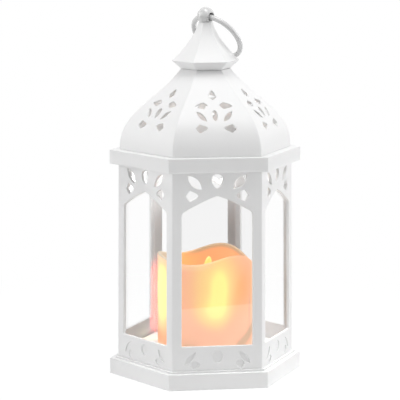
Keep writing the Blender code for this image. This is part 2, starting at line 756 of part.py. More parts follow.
def build_fasteners_of_finial(look):
    bore = STEM_RADIUS + GAP
    washer = [(bore, WASHER_TOP), (WASHER_RADIUS, WASHER_TOP),
              (WASHER_RADIUS, WASHER_TOP - WASHER_THICKNESS), (bore, WASHER_TOP - WASHER_THICKNESS)]
    smooth(turned("finial_washer", washer, look, closed=True))
    nut = turned("finial_nut", [(NUT_RADIUS, NUT_TOP - NUT_HEIGHT), (NUT_RADIUS, NUT_TOP)], look, sides=6)
    thread = rod_rings((0, 0, NUT_TOP - 2 * NUT_HEIGHT), (0, 0, NUT_TOP + NUT_HEIGHT), bore)
    change(nut, [thread], "DIFFERENCE")


# Candle


def candle_rim(angle):
    """Height of the melted rim: three waves round, with slower and faster ones on top."""
    waves = RIM_WAVE * math.cos(3 * (angle - math.radians(58.7)))
    waves += 0.29 * RIM_WAVE * math.cos(2 * (angle - math.radians(89)))
    waves += 0.30 * RIM_WAVE * math.cos(angle - math.radians(222))
    waves += 0.22 * RIM_WAVE * math.cos(4 * (angle - math.radians(48)))
    return CANDLE_RIM + waves


def build_candle_shell(look):
    """The hollow candle: a tube with a wavy rounded rim and a shoulder that carries the pool."""
    angles = [math.tau * i / CANDLE_FACETS for i in range(CANDLE_FACETS)]

    def level(radius, height):
        return [(radius * math.cos(a), radius * math.sin(a), height) for a in angles]

    def rim(radius, drop):
        return [(radius * math.cos(a), radius * math.sin(a), candle_rim(a) - drop) for a in angles]

    middle = (CANDLE_RADIUS + CANDLE_BORE) / 2
    rings = [level(CANDLE_LOWER_BORE, CANDLE_FOOT), level(CANDLE_RADIUS, CANDLE_FOOT)]
    for i in range(5):
        turn = math.pi * i / 4
        rings.append(rim(middle + CANDLE_WALL / 2 * math.cos(turn), RIM_ROUNDING * (1 - math.sin(turn))))
    rings += [level(CANDLE_BORE, POOL_SEAT), level(CANDLE_LOWER_BORE, POOL_SEAT)]
    smooth(loft("candle_shell", rings, look, closed=True))


def build_candle_base(look):
    """The disc that closes the candle's foot and takes its screws."""
    radius = CANDLE_LOWER_BORE - GAP
    top = CANDLE_FOOT + CANDLE_BASE_THICKNESS
    base = turned("candle_base", [(radius, CANDLE_FOOT), (radius, top)], look, sides=CANDLE_FACETS)
    root, boss_top = top - CANDLE_BASE_THICKNESS / 2, top + CANDLE_BOSS_HEIGHT
    bosses = [rod_rings((x, y, root), (x, y, boss_top), BOSS_RADIUS) for x, y in screw_places()]
    change(base, bosses, "UNION")
    pilot_top = FLOOR_UNDER + SCREW_LENGTH
    above = top + CANDLE_BASE_THICKNESS
    cuts = [rod_rings((x, y, 0), (x, y, pilot_top), SCREW_RADIUS + GAP, 12) for x, y in screw_places()]
    cuts += [rod_rings((x, y, 0), (x, y, above), LEAD_HOLE_RADIUS, 12) for x, y in lead_places()]
    change(base, cuts, "DIFFERENCE")
    smooth(base)


def build_pool_plate(look):
    """The sunken top of the candle, with a hole for the flame and posts for the board."""
    plate = turned("pool_plate", [(CANDLE_BORE - GAP, POOL_UNDER), (CANDLE_BORE - GAP, POOL_TOP)], look,
                   sides=CANDLE_FACETS)
    foot, root = BOARD_TOP + GAP, POOL_UNDER + POOL_THICKNESS / 2
    posts = [rod_rings((x, 0, foot), (x, 0, root), BOARD_POST_RADIUS, 12)
             for x in (-BOARD_POST_PITCH, BOARD_POST_PITCH)]
    change(plate, posts, "UNION")
    bore = rod_rings((0, 0, FLAME_FOOT), (0, 0, POOL_TOP + POOL_THICKNESS), FLAME_RADIUS + GAP)
    change(plate, [bore], "DIFFERENCE")
    smooth(plate)


def build_flame_tip(look):
    """A leaning flame on a flange under the pool, hollow for the light."""
    bore = LED_RADIUS + GAP
    shape = [(0.0, 1.0), (0.30, 1.0), (0.52, 0.90), (0.72, 0.66), (0.88, 0.38), (1.0, 0.06)]
    profile = [(bore, FLAME_FOOT + LED_LENGTH + 2 * GAP), (bore, FLAME_FOOT),
               (FLAME_FLANGE_RADIUS, FLAME_FOOT), (FLAME_FLANGE_RADIUS, FLANGE_TOP),
               (FLAME_RADIUS, FLANGE_TOP)]
    profile += [(FLAME_RADIUS * width, POOL_TOP + FLAME_HEIGHT * up) for up, width in shape]
    rings = []
    for i, (radius, height) in enumerate(profile):
        rise = max(0.0, (height - POOL_TOP) / FLAME_HEIGHT) if i else 0.0
        rings.append(ring_of(radius, height, 12, 0.0, (FLAME_LEAN * rise**2, 0.0)))
    smooth(loft("flame_tip", rings, look))


def build_led(look):
    top = FLAME_FOOT + LED_LENGTH
    profile = [(LED_RADIUS, FLAME_FOOT), (LED_RADIUS, top - LED_RADIUS),
               (LED_RADIUS * 0.8, top - LED_RADIUS * 0.4), (LED_RADIUS * 0.3, top)]
    smooth(turned("led", profile, look, sides=12))


def build_led_board(look):
    turned("led_board", [(BOARD_RADIUS, BOARD_UNDER), (BOARD_RADIUS, BOARD_TOP)], look)


def build_lead(name, look, place, side):
    """A lead from the underside of the board, out and down through its hole to its contact."""
    start = Vector((side * BOARD_RADIUS * 0.6, 0, BOARD_UNDER - GAP))
    end = Vector((*place, BATTERY_HEIGHT + CONTACT_HEIGHT / 2 + GAP))
    drop = Vector((0, 0, start.z - CANDLE_FOOT - CANDLE_BASE_THICKNESS))
    low = Vector((*place, CANDLE_FOOT + CANDLE_BASE_THICKNESS))
    points = []
    for i in range(13):
        t = i / 12
        weights = ((1 - t) ** 3, 3 * t * (1 - t) ** 2, 3 * t * t * (1 - t), t**3)
        corners = (start, start - drop * 0.45, low + drop * 0.45, low)
        points.append(sum((w * c for w, c in zip(weights, corners)), Vector()))
    points.append(end)
    curve = bpy.data.curves.new(name, "CURVE")
    curve.dimensions = "3D"
    curve.bevel_depth = LEAD_RADIUS
    curve.bevel_resolution = 1
    curve.use_fill_caps = True
    spline = curve.splines.new("POLY")
    spline.points.add(len(points) - 1)
    for slot, point in zip(spline.points, points):
        slot.co = (*point, 1.0)
    curve.materials.append(look)
    lead = bpy.data.objects.new(name, curve)
    bpy.context.scene.collection.objects.link(lead)


def build_screw(name, look, x, y, seat):
    """A pan-head screw from below, its head under the given seat."""
    head = seat - GAP
    profile = [(SCREW_HEAD_RADIUS * 0.8, head - SCREW_HEAD_HEIGHT),
               (SCREW_HEAD_RADIUS, head - SCREW_HEAD_HEIGHT * 0.6), (SCREW_HEAD_RADIUS, head),
               (SCREW_RADIUS, head), (SCREW_RADIUS, head + SCREW_LENGTH - SCREW_RADIUS),
               (SCREW_RADIUS * 0.4, head + SCREW_LENGTH - GAP)]
    smooth(turned(name, profile, look, sides=12, centre=(x, y)))


# Battery case and switch


def cell_ends(direction):
    """Where a cell's flat end and its nub tip lie along X when its nub points that way."""
    plate = BAY_END - GAP - CONTACT_THICKNESS - GAP
    return -direction * (plate - SPRING_LENGTH - GAP), direction * plate


def build_battery_case(look):
    """An open-bottomed case for three cells, with hinge lugs, screw ears and a switch pocket."""
    outside = box_rings((-CASE_END, -CASE_SIDE, DOOR_BOTTOM), (CASE_END, CASE_SIDE, CASE_TOP))
    case = loft("battery_case", outside, look)
    pocket_end = SWITCH_LENGTH / 2 + GAP
    pocket_side = SWITCH_WIDTH / 2 + GAP
    added = [box_rings((-pocket_end - CASE_WALL, SWITCH_Y - pocket_side - CASE_WALL, DOOR_BOTTOM),
                       (pocket_end + CASE_WALL, -BAY_SIDE - CASE_WALL / 2, SWITCH_BOTTOM + SWITCH_HEIGHT))]
    for side in (-1, 1):
        added.append(box_rings((side * (CASE_END - CASE_WALL / 2), -EAR_WIDTH / 2, EAR_BOTTOM),
                               (side * (EAR_X + BOSS_RADIUS), EAR_WIDTH / 2, EAR_TOP)))
        added.append(box_rings((HINGE_X - HINGE_LUG_LENGTH / 2, side * (BAY_SIDE - GAP),
                                DOOR_BOTTOM - HINGE_LUG_DROP),
                               (HINGE_X + HINGE_LUG_LENGTH / 2, side * (CASE_SIDE + GAP),
                                DOOR_TOP + HINGE_LUG_DROP)))
    change(case, added, "UNION")
    knob = KNOB_SIZE / 2 + GAP
    below, notch = 0.0, DOOR_TAB_WIDTH / 2 + GAP
    cuts = [box_rings((-BAY_END, -BAY_SIDE, below), (BAY_END, BAY_SIDE, CASE_CEILING)),
            box_rings((-pocket_end, SWITCH_Y - pocket_side, DOOR_TOP),
                      (pocket_end, SWITCH_Y + pocket_side, SWITCH_BOTTOM + 2 * SWITCH_HEIGHT))]
    change(case, cuts, "DIFFERENCE")
    reach = CASE_SIDE + CASE_WALL
    pin_bore = DOOR_PIN_RADIUS + GAP
    slots = [box_rings((BAY_END - CASE_WALL, -notch, below), (CASE_END + CASE_WALL, notch, TAB_TOP + GAP)),
             box_rings((SWITCH_REST - knob, SWITCH_Y - knob, below),
                       (SWITCH_REST + SWITCH_TRAVEL + knob, SWITCH_Y + knob, SWITCH_BOTTOM + GAP)),
             rod_rings((HINGE_X, -reach, HINGE_HEIGHT), (HINGE_X, reach, HINGE_HEIGHT), pin_bore)]
    ceiling, roof = CASE_CEILING - CASE_WALL, CASE_TOP + CASE_WALL
    slots += [rod_rings((x, y, ceiling), (x, y, roof), LEAD_HOLE_RADIUS, 12) for x, y in lead_places()]
    under, over = EAR_BOTTOM - EAR_THICKNESS, EAR_TOP + EAR_THICKNESS
    slots += [rod_rings((x, 0, under), (x, 0, over), SCREW_RADIUS + GAP, 12) for x in (-EAR_X, EAR_X)]
    change(case, slots, "DIFFERENCE")
    ledge_end = BAY_END - DOOR_LEDGE_INSET
    ledges = [box_rings((-ledge_end, side * (BAY_SIDE - DOOR_LEDGE), DOOR_TOP + GAP),
                        (ledge_end, side * (BAY_SIDE + CASE_WALL / 2), DOOR_TOP + GAP + DOOR_LEDGE))
              for side in (-1, 1)]
    change(case, ledges, "UNION")


def build_battery_door(look):
    """The door under the cells: a plate with a round hinge edge, two pins and a finger tab."""
    half = DOOR_THICKNESS / 2
    end = BAY_END - GAP
    steps = 6
    arc = [math.radians(90 + 180 * i / steps) for i in range(steps + 1)]
    outline = [(HINGE_X + half * math.cos(a), HINGE_HEIGHT + half * math.sin(a)) for a in arc]
    outline += [(end, DOOR_BOTTOM), (end, DOOR_TOP)]
    rings = [[(x, y, z) for x, z in outline] for y in (-DOOR_SIDE, DOOR_SIDE)]
    door = loft("battery_door", rings, look, place=(HINGE_X, 0, HINGE_HEIGHT))
    added = [rod_rings((HINGE_X, side * (DOOR_SIDE - CASE_WALL), HINGE_HEIGHT),
                       (HINGE_X, side * CASE_SIDE, HINGE_HEIGHT), DOOR_PIN_RADIUS, 12) for side in (-1, 1)]
    added.append(box_rings((end - CASE_WALL, -DOOR_TAB_WIDTH / 2, TAB_TOP - DOOR_TAB_THICKNESS),
                           (CASE_END + DOOR_TAB_REACH, DOOR_TAB_WIDTH / 2, TAB_TOP)))
    change(door, added, "UNION")


def build_battery(number, look):
    """A cell lying along X; the middle one lies the other way round."""
    direction = -1 if number == 2 else 1
    y = (number - 2) * BATTERY_PITCH
    flat, tip = cell_ends(direction)
    shoulder = tip - direction * NUB_LENGTH
    profile = [(flat, BATTERY_RADIUS), (shoulder, BATTERY_RADIUS), (shoulder, NUB_RADIUS), (tip, NUB_RADIUS)]
    angles = [math.tau * i / ROUND for i in range(ROUND)]
    rings = [[(x, y + r * math.cos(a), BATTERY_HEIGHT + r * math.sin(a)) for a in angles]
             for x, r in profile]
    smooth(loft(f"battery_{number}", rings, look))


def build_battery_spring(number, look, per_turn=12, sides=5):
    """A tapering coil between a contact and the flat end of a cell."""
    direction = -1 if number == 2 else 1
    y = (number - 2) * BATTERY_PITCH
    flat, _ = cell_ends(direction)
    near = flat - direction * (GAP + SPRING_WIRE)
    far = flat - direction * (GAP + SPRING_LENGTH - SPRING_WIRE)
    count = per_turn * SPRING_TURNS
    centres = []
    for i in range(count + 1):
        share = i / count
        radius = SPRING_RADIUS + (SPRING_TIP_RADIUS - SPRING_RADIUS) * share
        angle = math.tau * SPRING_TURNS * share
        centres.append(Vector((far + (near - far) * share, y + radius * math.cos(angle),
                               BATTERY_HEIGHT + radius * math.sin(angle))))
    smooth(loft(f"battery_spring_{number}", tube_rings(centres, SPRING_WIRE, sides), look))
    least = min((a - b).length for i, a in enumerate(centres) for b in centres[i + per_turn // 2:])
    print(f"battery_spring_{number}: least gap to itself {(least - 2 * SPRING_WIRE) * 1000:.2f} mm")


def tube_rings(centres, radius, sides):
    """Rings of an open tube along points that wind round the X axis."""
    axis = Vector((1, 0, 0))
    rings = []
    for i, centre in enumerate(centres):
        along = (centres[min(i + 1, len(centres) - 1)] - centres[max(i - 1, 0)]).normalized()
        side = along.cross(axis).normalized()
        other = along.cross(side)
        angles = [math.tau * k / sides for k in range(sides)]
        rings.append([centre + radius * (math.cos(a) * side + math.sin(a) * other) for a in angles])
    return rings


def build_contacts(look):
    """The sprung steel plates that join the three cells in a row."""
    reach = BATTERY_PITCH + CONTACT_WIDTH / 2
    middle = CONTACT_WIDTH / 2
    plates = {"contact_negative": (-1, -reach, -BATTERY_PITCH + middle),
              "contact_link_left": (-1, -middle, reach),
              "contact_link_right": (1, -reach, middle),
              "contact_positive": (1, BATTERY_PITCH - middle, reach)}
    for name, (side, low, high) in plates.items():
        near, far = CONTACT_X - CONTACT_THICKNESS / 2, CONTACT_X + CONTACT_THICKNESS / 2
        rings = box_rings((side * near, low, BATTERY_HEIGHT - CONTACT_HEIGHT / 2),
                          (side * far, high, BATTERY_HEIGHT + CONTACT_HEIGHT / 2))
        loft(name, rings, look)


def build_switch(body_look, slider_look):
    """A slide switch lying over its slot, and the slider whose knob stands out below."""
    end, side = SWITCH_LENGTH / 2, SWITCH_WIDTH / 2
    body = loft("switch_body", box_rings((-end, SWITCH_Y - side, SWITCH_BOTTOM),
                                         (end, SWITCH_Y + side, SWITCH_BOTTOM + SWITCH_HEIGHT)), body_look)
    room = (CARRIAGE_LENGTH + SWITCH_TRAVEL) / 2 + GAP
    cavity = box_rings((-room, SWITCH_Y - SWITCH_CAVITY_WIDTH / 2, DOOR_BOTTOM),
                       (room, SWITCH_Y + SWITCH_CAVITY_WIDTH / 2, SWITCH_BOTTOM + SWITCH_CAVITY_DEPTH))
    change(body, [cavity], "DIFFERENCE")
    knob = KNOB_SIZE / 2
    length, width = CARRIAGE_LENGTH / 2, SWITCH_CAVITY_WIDTH / 2 - GAP
    levels = [(knob, knob, DOOR_BOTTOM - KNOB_STAND), (knob, knob, SWITCH_BOTTOM),
              (length, width, SWITCH_BOTTOM), (length, width, SWITCH_BOTTOM + SWITCH_CAVITY_DEPTH - GAP)]
    rings = [box_rings((SWITCH_REST - x, SWITCH_Y - y, z), (SWITCH_REST + x, SWITCH_Y + y, z))[0]
             for x, y, z in levels]
    loft("switch_slider", rings, slider_look, place=(SWITCH_REST, SWITCH_Y, SWITCH_BOTTOM))


def main():
    clear_scene()
    white = material("white plastic", (0.80, 0.80, 0.80), 0.38)
    clear = material("clear plastic", (0.95, 0.96, 0.97), 0.08, alpha=0.25)
    wax = material("glowing wax", (1.0, 0.62, 0.34), 0.55, glow=0.4)
    flame = material("frosted flame", (1.0, 0.85, 0.35), 0.4, glow=2.0)
    light = material("amber lens", (1.0, 0.75, 0.25), 0.2, glow=4.0)
    board = material("green board", (0.05, 0.25, 0.10), 0.5)
    dark = material("black plastic", (0.02, 0.02, 0.02), 0.45)
    cream = material("cream plastic", (0.80, 0.74, 0.62), 0.5)
    steel = material("plated steel", (0.70, 0.70, 0.72), 0.25, metallic=1.0)
    cell = material("cell label", (0.10, 0.12, 0.16), 0.35)
    red = material("red sleeve", (0.55, 0.03, 0.03), 0.4)
    lacquer = material("white lacquer", (0.78, 0.78, 0.78), 0.22)
    build_base_tray(white)
    build_body_frame(white)
    build_window_panes(clear)
    build_roof_dome(white, build_roof_rim(white))
    cap = build_spire_cap(white)
    build_finial_knob(lacquer)
    build_hanging_ring(lacquer, rest_tilt(cap))
    build_fasteners_of_finial(steel)
    build_candle_shell(wax)
    build_candle_base(cream)
    build_pool_plate(wax)
    build_flame_tip(flame)
    build_led(light)
    build_led_board(board)
    (plus, minus) = lead_places()
    build_lead("lead_positive", red, plus, 1)
    build_lead("lead_negative", dark, minus, -1)
    for number, (x, y) in enumerate(screw_places(), 1):
        build_screw(f"candle_screw_{number}", steel, x, y, FLOOR_UNDER)
    build_battery_case(white)
    build_battery_door(white)
    for number, x in enumerate((-EAR_X, EAR_X), 1):
        build_screw(f"case_screw_{number}", steel, x, 0, EAR_BOTTOM)
    for number in (1, 2, 3):
        build_battery(number, cell)
        build_battery_spring(number, steel)
    build_contacts(steel)
    build_switch(dark, dark)


main()
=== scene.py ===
# %% [markdown]
# # A white lantern with a battery candle
#
# This scene dresses a hexagonal table lantern: a moulded cage with six arched windows, a pierced dome, a
# spire with a ring, and a wax candle with a small lamp inside, whose glow is painted on the wax as emission.
# The imported model gives every piece its place, and the cells below give each one its finish and the
# larger pieces a finer shape.

import json
import math

import bmesh
import bpy
import numpy as np
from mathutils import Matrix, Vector
from mathutils.geometry import delaunay_2d_cdt

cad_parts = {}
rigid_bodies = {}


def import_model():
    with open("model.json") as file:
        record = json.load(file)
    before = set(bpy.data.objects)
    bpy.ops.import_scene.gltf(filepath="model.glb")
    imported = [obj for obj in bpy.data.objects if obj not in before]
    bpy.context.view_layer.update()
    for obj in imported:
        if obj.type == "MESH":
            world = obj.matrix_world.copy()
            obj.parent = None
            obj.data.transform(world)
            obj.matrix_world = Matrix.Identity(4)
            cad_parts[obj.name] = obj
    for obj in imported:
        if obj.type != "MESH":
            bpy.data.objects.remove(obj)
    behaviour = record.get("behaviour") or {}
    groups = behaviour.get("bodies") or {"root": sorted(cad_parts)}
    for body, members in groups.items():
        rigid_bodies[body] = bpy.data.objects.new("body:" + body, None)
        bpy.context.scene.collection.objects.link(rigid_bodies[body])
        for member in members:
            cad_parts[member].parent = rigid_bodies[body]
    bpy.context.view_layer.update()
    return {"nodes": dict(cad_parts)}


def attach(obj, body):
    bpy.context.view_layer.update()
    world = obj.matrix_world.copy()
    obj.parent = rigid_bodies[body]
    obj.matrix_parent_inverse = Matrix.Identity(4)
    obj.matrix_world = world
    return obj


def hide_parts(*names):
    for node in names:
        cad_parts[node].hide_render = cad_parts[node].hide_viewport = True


for leftover in list(bpy.data.objects):
    bpy.data.objects.remove(leftover, do_unlink=True)
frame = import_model()
nodes = frame["nodes"]

# %% [markdown]
# ## The camera
#
# The lantern is seen from a little to its left and a little above, with a long lens from about a metre and
# a half. The place, the lens and the aim come from matching the corners of the base, the rim and the dome.

# %% Place the camera
def put(name, data):
    """A new object in the scene."""
    made = bpy.data.objects.new(name, data)
    bpy.context.scene.collection.objects.link(made)
    return made


camera_data = bpy.data.cameras.new("camera")
camera_data.sensor_width = 36
camera_data.lens = 178.02
camera_data.clip_end = 20
camera = put("camera", camera_data)
camera.location = (-0.22513, -1.49130, 0.36540)
sight, dip = math.radians(8.42), math.radians(8.7247)
aim = Vector((math.sin(sight) * math.cos(dip), math.cos(sight) * math.cos(dip), -math.sin(dip)))
camera.rotation_euler = aim.to_track_quat("-Z", "Y").to_euler()
bpy.context.scene.camera = camera
print("camera looks along", np.round(aim, 3).tolist())

# %% [markdown]
# ## Finishes as expressions
#
# A finish is a small graph of nodes. Two classes keep it readable: Value wraps the output of a node, so that
# a sum or a product of values adds the Math nodes by itself, and Finish adds any other node by its type.


# %% Classes for wiring a finish
class Value:
    """The output of a node. Arithmetic on it adds Math nodes."""

    def __init__(self, finish, socket):
        self.finish, self.socket = finish, socket

    def maths(self, operation, first, second=0.0):
        return self.finish.node("ShaderNodeMath", {"operation": operation}, {0: first, 1: second})

    def __add__(self, other):
        return self.maths("ADD", self, other)

    __radd__ = __add__

    def __mul__(self, other):
        return self.maths("MULTIPLY", self, other)

    __rmul__ = __mul__

    def __sub__(self, other):
        return self.maths("SUBTRACT", self, other)

    def __rsub__(self, other):
        return self.maths("SUBTRACT", other, self)

    def __truediv__(self, other):
        return self.maths("DIVIDE", self, other)

    def __pow__(self, other):
        return self.maths("POWER", self, other)

    def __rpow__(self, other):
        return self.maths("POWER", other, self)

    def __neg__(self):
        return self.maths("MULTIPLY", self, -1.0)


class Finish:
    """A material under construction."""

    def __init__(self, name):
        self.material = bpy.data.materials.new(name)
        self.material.use_nodes = True
        self.tree = self.material.node_tree
        self.tree.nodes.clear()

    def node(self, kind, settings=None, inputs=None, out=0):
        """Add a node, apply its settings, then set or link its sockets. Returns one of its outputs."""
        made = self.tree.nodes.new(kind)
        for key, value in (settings or {}).items():
            setattr(made, key, value)
        for key, value in (inputs or {}).items():
            if isinstance(value, Value):
                self.tree.links.new(value.socket, made.inputs[key])
            elif isinstance(value, tuple) and len(value) == 3 and made.inputs[key].type == "RGBA":
                made.inputs[key].default_value = (*value, 1.0)
            else:
                made.inputs[key].default_value = value
        return Value(self, made.outputs[out]) if made.outputs else None

    def place(self):
        """The point on the piece, in metres."""
        return self.node("ShaderNodeTexCoord", out="Object")

    def noise(self, scale, detail=2.0, where=None):
        """Cloudy values about 0.5, so many clouds to the metre."""
        return self.node("ShaderNodeTexNoise", None,
                         {"Vector": where or self.place(), "Scale": scale, "Detail": detail})

    def parts(self, vector):
        """The three coordinates of a vector."""
        split = self.node("ShaderNodeSeparateXYZ", None, {0: vector})
        return [Value(self, split.socket.node.outputs[i]) for i in range(3)]

    def ramp(self, value, low, high):
        """0 below low, 1 above high, smooth between."""
        return self.node("ShaderNodeMapRange", {"interpolation_type": "SMOOTHSTEP"},
                         {"Value": value, "From Min": low, "From Max": high})

    def fade(self, value, low, high):
        """1 below low, 0 above high, smooth between."""
        return 1.0 - self.ramp(value, low, high)

    def blend(self, share, first, second):
        """From the first colour to the second as share goes from 0 to 1."""
        mixed = self.node("ShaderNodeMix", {"data_type": "RGBA"}, {0: share, 6: first, 7: second})
        return Value(self, mixed.socket.node.outputs[2])

    def relief(self, height, depth, strength=1.0, base=None):
        """A bump of so many metres."""
        inputs = {"Height": height, "Distance": depth, "Strength": strength}
        if base:
            inputs["Normal"] = base
        return self.node("ShaderNodeBump", None, inputs)

    def surface(self, shader):
        """End the graph with a shader. Returns the material."""
        self.node("ShaderNodeOutputMaterial", None, {"Surface": shader})
        return self.material

    def principled(self, inputs):
        """End the graph with a Principled shader. Returns the material."""
        return self.surface(self.node("ShaderNodeBsdfPrincipled", None, inputs))


def coat_node(node, material):
    """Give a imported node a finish."""
    mesh = nodes[node].data
    mesh.materials.clear()
    mesh.materials.append(material)


# %% [markdown]
# ## White moulded plastic
#
# The body is a white polystyrene moulding with a satin surface. A steel mould is never perfectly even,
# so the gloss varies in broad clouds and a very fine grain breaks the highlights. Most mouldings are
# shaped anew below, with rounded edges. Those that stay as imported have knife-sharp edges, which real
# mouldings never have, so a Bevel node turns their normals over the last half millimetre.


# %% Make the white plastic
CLOUDS_PER_METRE, GRAINS_PER_METRE, DARKEST = 45.0, 1400.0, 0.975


def moulded(name, colour, roughness, edge=0.0005, grain=0.00002):
    """Satin plastic: broad clouds move its colour and gloss, a fine grain its gloss and surface."""
    look = Finish(name)
    cloud, fine = look.noise(CLOUDS_PER_METRE, 3.0), look.noise(GRAINS_PER_METRE, 2.0)
    shade = look.blend(cloud, tuple(DARKEST * c for c in colour), colour)
    gloss = roughness - 0.05 + 0.06 * cloud + 0.05 * fine
    soft = look.node("ShaderNodeBevel", {"samples": 16}, {"Radius": edge}) if edge else None
    normal = look.relief(fine, grain, 0.5, soft)
    return look.principled({"Base Color": shade, "Roughness": gloss, "Normal": normal})


white = (0.86, 0.86, 0.86)
white_plastic = moulded("white plastic", white, 0.40)
white_smooth = moulded("white plastic, rounded", white, 0.40, edge=0.0)
for node in ("body_frame", "roof_rim", "roof_dome", "spire_cap", "battery_case", "battery_door"):
    coat_node(node, white_plastic)
print("white plastic:", len(white_plastic.node_tree.nodes), "nodes in its graph")

# %% [markdown]
# The ball and the ring are dipped in a glossier lacquer that runs into slight waves as it dries.

# %% Make the lacquer of the ball and ring
lacquer = Finish("white lacquer")
drip = lacquer.noise(260.0, 3.0)
lacquer_normal = lacquer.relief(drip, 0.00003, 0.4)
white_lacquer = lacquer.principled({
    "Base Color": lacquer.blend(drip, (0.64, 0.64, 0.64), (0.68, 0.68, 0.68)),
    "Roughness": 0.16 + 0.10 * drip, "Coat Weight": 0.6, "Coat Roughness": 0.08, "Normal": lacquer_normal})
for node in ("finial_knob", "hanging_ring"):
    coat_node(node, white_lacquer)
print("white lacquer for the ball and the ring")

# %% [markdown]
# ## Clear panes
#
# Each window has a thin clear sheet behind it. A sheet that thin bends light so little that a see-through
# shader mixed with a mirror by Fresnel's law looks the same as real refraction, and lets the lamps shine in.
# The two faces of a sheet mirror almost the same picture, so the outer face alone carries the share of both.


# %% Make the clear sheet
PLASTIC_IOR, LET_THROUGH = 1.59, 0.995
pane = Finish("clear plastic")
film = pane.noise(30.0, 2.0)
back = pane.node("ShaderNodeNewGeometry", out="Backfacing")
one_side = pane.node("ShaderNodeFresnel", None, {"IOR": PLASTIC_IOR})
facing = pane.node("ShaderNodeNewGeometry", out="Normal")
outwards = pane.node("ShaderNodeVectorMath", {"operation": "DOT_PRODUCT"}, {0: facing, 1: pane.place()},
                     out="Value")
outer_face = pane.node("ShaderNodeMath", {"operation": "GREATER_THAN"}, {0: outwards, 1: 0.0})
mirror_share = 2.0 * one_side / (1.0 + one_side) * (1.0 - back) * outer_face
mirror = pane.node("ShaderNodeBsdfGlossy", None, {"Color": (1.0, 1.0, 1.0), "Roughness": 0.01 + 0.02 * film})
through = pane.node("ShaderNodeBsdfTransparent", None, {"Color": (LET_THROUGH,) * 3})
clear_plastic = pane.surface(pane.node("ShaderNodeMixShader", None, {
    0: mirror_share, 1: through, 2: mirror}))
for number in range(1, 7):
    coat_node(f"window_pane_{number}", clear_plastic)
print("six clear panes")

# %% [markdown]
# ## The glowing wax
#
# The candle is a shell of paraffin wax about three millimetres thick, lit from inside by one amber lamp
# under its sunken top. Wax scatters light, so the lamp shows as broad yellow patches that fade to peach.
# Scattering light through the shell for every ray would be slow and grainy, so the glow is worked out as a
# pattern of emission on the wax: bright lobes round the candle, strongest at the lamp's height, and a dull
# streak that climbs to the right near the foot.


# %% Patterns of light on the wax
CANDLE_FOOT, RIM_MEAN, RIM_SWING = 0.0193, 0.0908, 0.0038
rim_waves = ((1, 3, 58.7), (0.29, 2, 89), (0.30, 1, 222), (0.22, 4, 48))
patches_of_light = (
    (-81.0, 10.0, 0.069, 0.015, 0.66), (-89.0, 18.0, 0.053, 0.011, 0.50), (-86.0, 31.0, 0.076, 0.027, 0.56),
    (-162.0, 19.0, 0.064, 0.022, 1.70), (105.0, 22.0, 0.064, 0.024, 0.85), (8.0, 22.0, 0.060, 0.024, 0.85))
warm_patches = ((-58.0, 36.0, 0.070, 0.020, 1.0), (-162.0, 25.0, 0.030, 0.012, 1.0))
cool_patches = ((-118.0, 13.0, 0.0235, 0.007, 0.8), (-34.0, 2.0, 0.053, 0.013, 0.8))
pink_peach, orange = (0.73, 0.325, 0.205), (0.74, 0.23, 0.045)
amber, yellow = (0.77, 0.52, 0.17), (0.78, 0.81, 0.21)
dull, pale, unlit = (0.31, 0.19, 0.11), (0.78, 0.575, 0.345), (0.12, 0.12, 0.12)
inner_left, inner_right = (0.84, 0.42, 0.09), (0.80, 0.28, 0.10)
crest_glow, end_glow = (0.38, 0.27, 0.16), (0.34, 0.31, 0.23)
STREAK_HEIGHT, STREAK_ANGLE, STREAK_RISE, STREAK_REACH = 0.0312, -0.663, 0.0212, 0.0054
INNER_RADII, LIP_RADII = (0.0350, 0.0362), (0.0370, 0.0374)
PALE_DEPTHS, CREST_DEPTHS = (0.0015, 0.0065), (0.0006, 0.0056)
END_DEPTHS, TOP_SHADE_DEPTHS = (0.0048, 0.0066), (0.0030, 0.0050)


def patches(look, angle, z, rows):
    """The sum over the rows of strength * exp(-turn^2 - rise^2).

    The turn is (angle - middle) / width, in degrees, and the rise is (z - level) / reach, in metres.
    """
    total = 0.0
    for middle, width, level, reach, strength in rows:
        turn = look.node("ShaderNodeMath", {"operation": "WRAP"}, {
            0: angle - math.radians(middle), 1: math.pi, 2: -math.pi}) / math.radians(width)
        rise = (z - level) / reach
        total = total + strength * math.e ** (-(turn * turn + rise * rise))
    return total


def streak(look, angle, z):
    """A dull band exp(-s^4) that climbs to the right; s is the height above its middle over its reach."""
    slant = (z - STREAK_HEIGHT - STREAK_RISE * (angle - STREAK_ANGLE)) / STREAK_REACH
    return 0.9 * math.e ** (-(slant ** 4.0)) * look.ramp(angle, -1.15, -0.98) * look.fade(angle, -0.4, 0.0)


def wall_glow(look, x, z, angle, inside, cloud):
    """Pink where the wax is dim, through orange and amber to yellow in the patches; amber on its inside."""
    heat = 0.14 * (cloud - 0.5) + patches(look, angle, z, patches_of_light)
    glow = look.blend(patches(look, angle, z, warm_patches), pink_peach, orange)
    glow = look.blend(look.ramp(heat, 0.05, 0.50), glow, amber)
    glow = look.blend(look.ramp(heat, 0.40, 0.95), glow, yellow)
    glow = look.blend(streak(look, angle, z) + patches(look, angle, z, cool_patches), glow, dull)
    return look.blend(inside, glow, look.blend(look.ramp(x, -0.03, 0.01), inner_left, inner_right))


def below_melted_rim(look, angle, z):
    """The depth below the rim, whose height is the mean plus the swing times a sum of cosines."""
    return RIM_MEAN - z + RIM_SWING * sum(
        size * look.node("ShaderNodeMath", {"operation": "COSINE"}, {
            0: count * (angle - math.radians(offset))}) for size, count, offset in rim_waves)


print("patches of light on the wax:", len(patches_of_light))

# %% [markdown]
# The thin lip of the melted rim stands above the lamp, so its inner side glows less where it rises highest.
# The glow itself is not counted as a lamp, and diffuse rays find it almost grey: small lamps inside the
# cage throw its light on the post and the floor beside it.


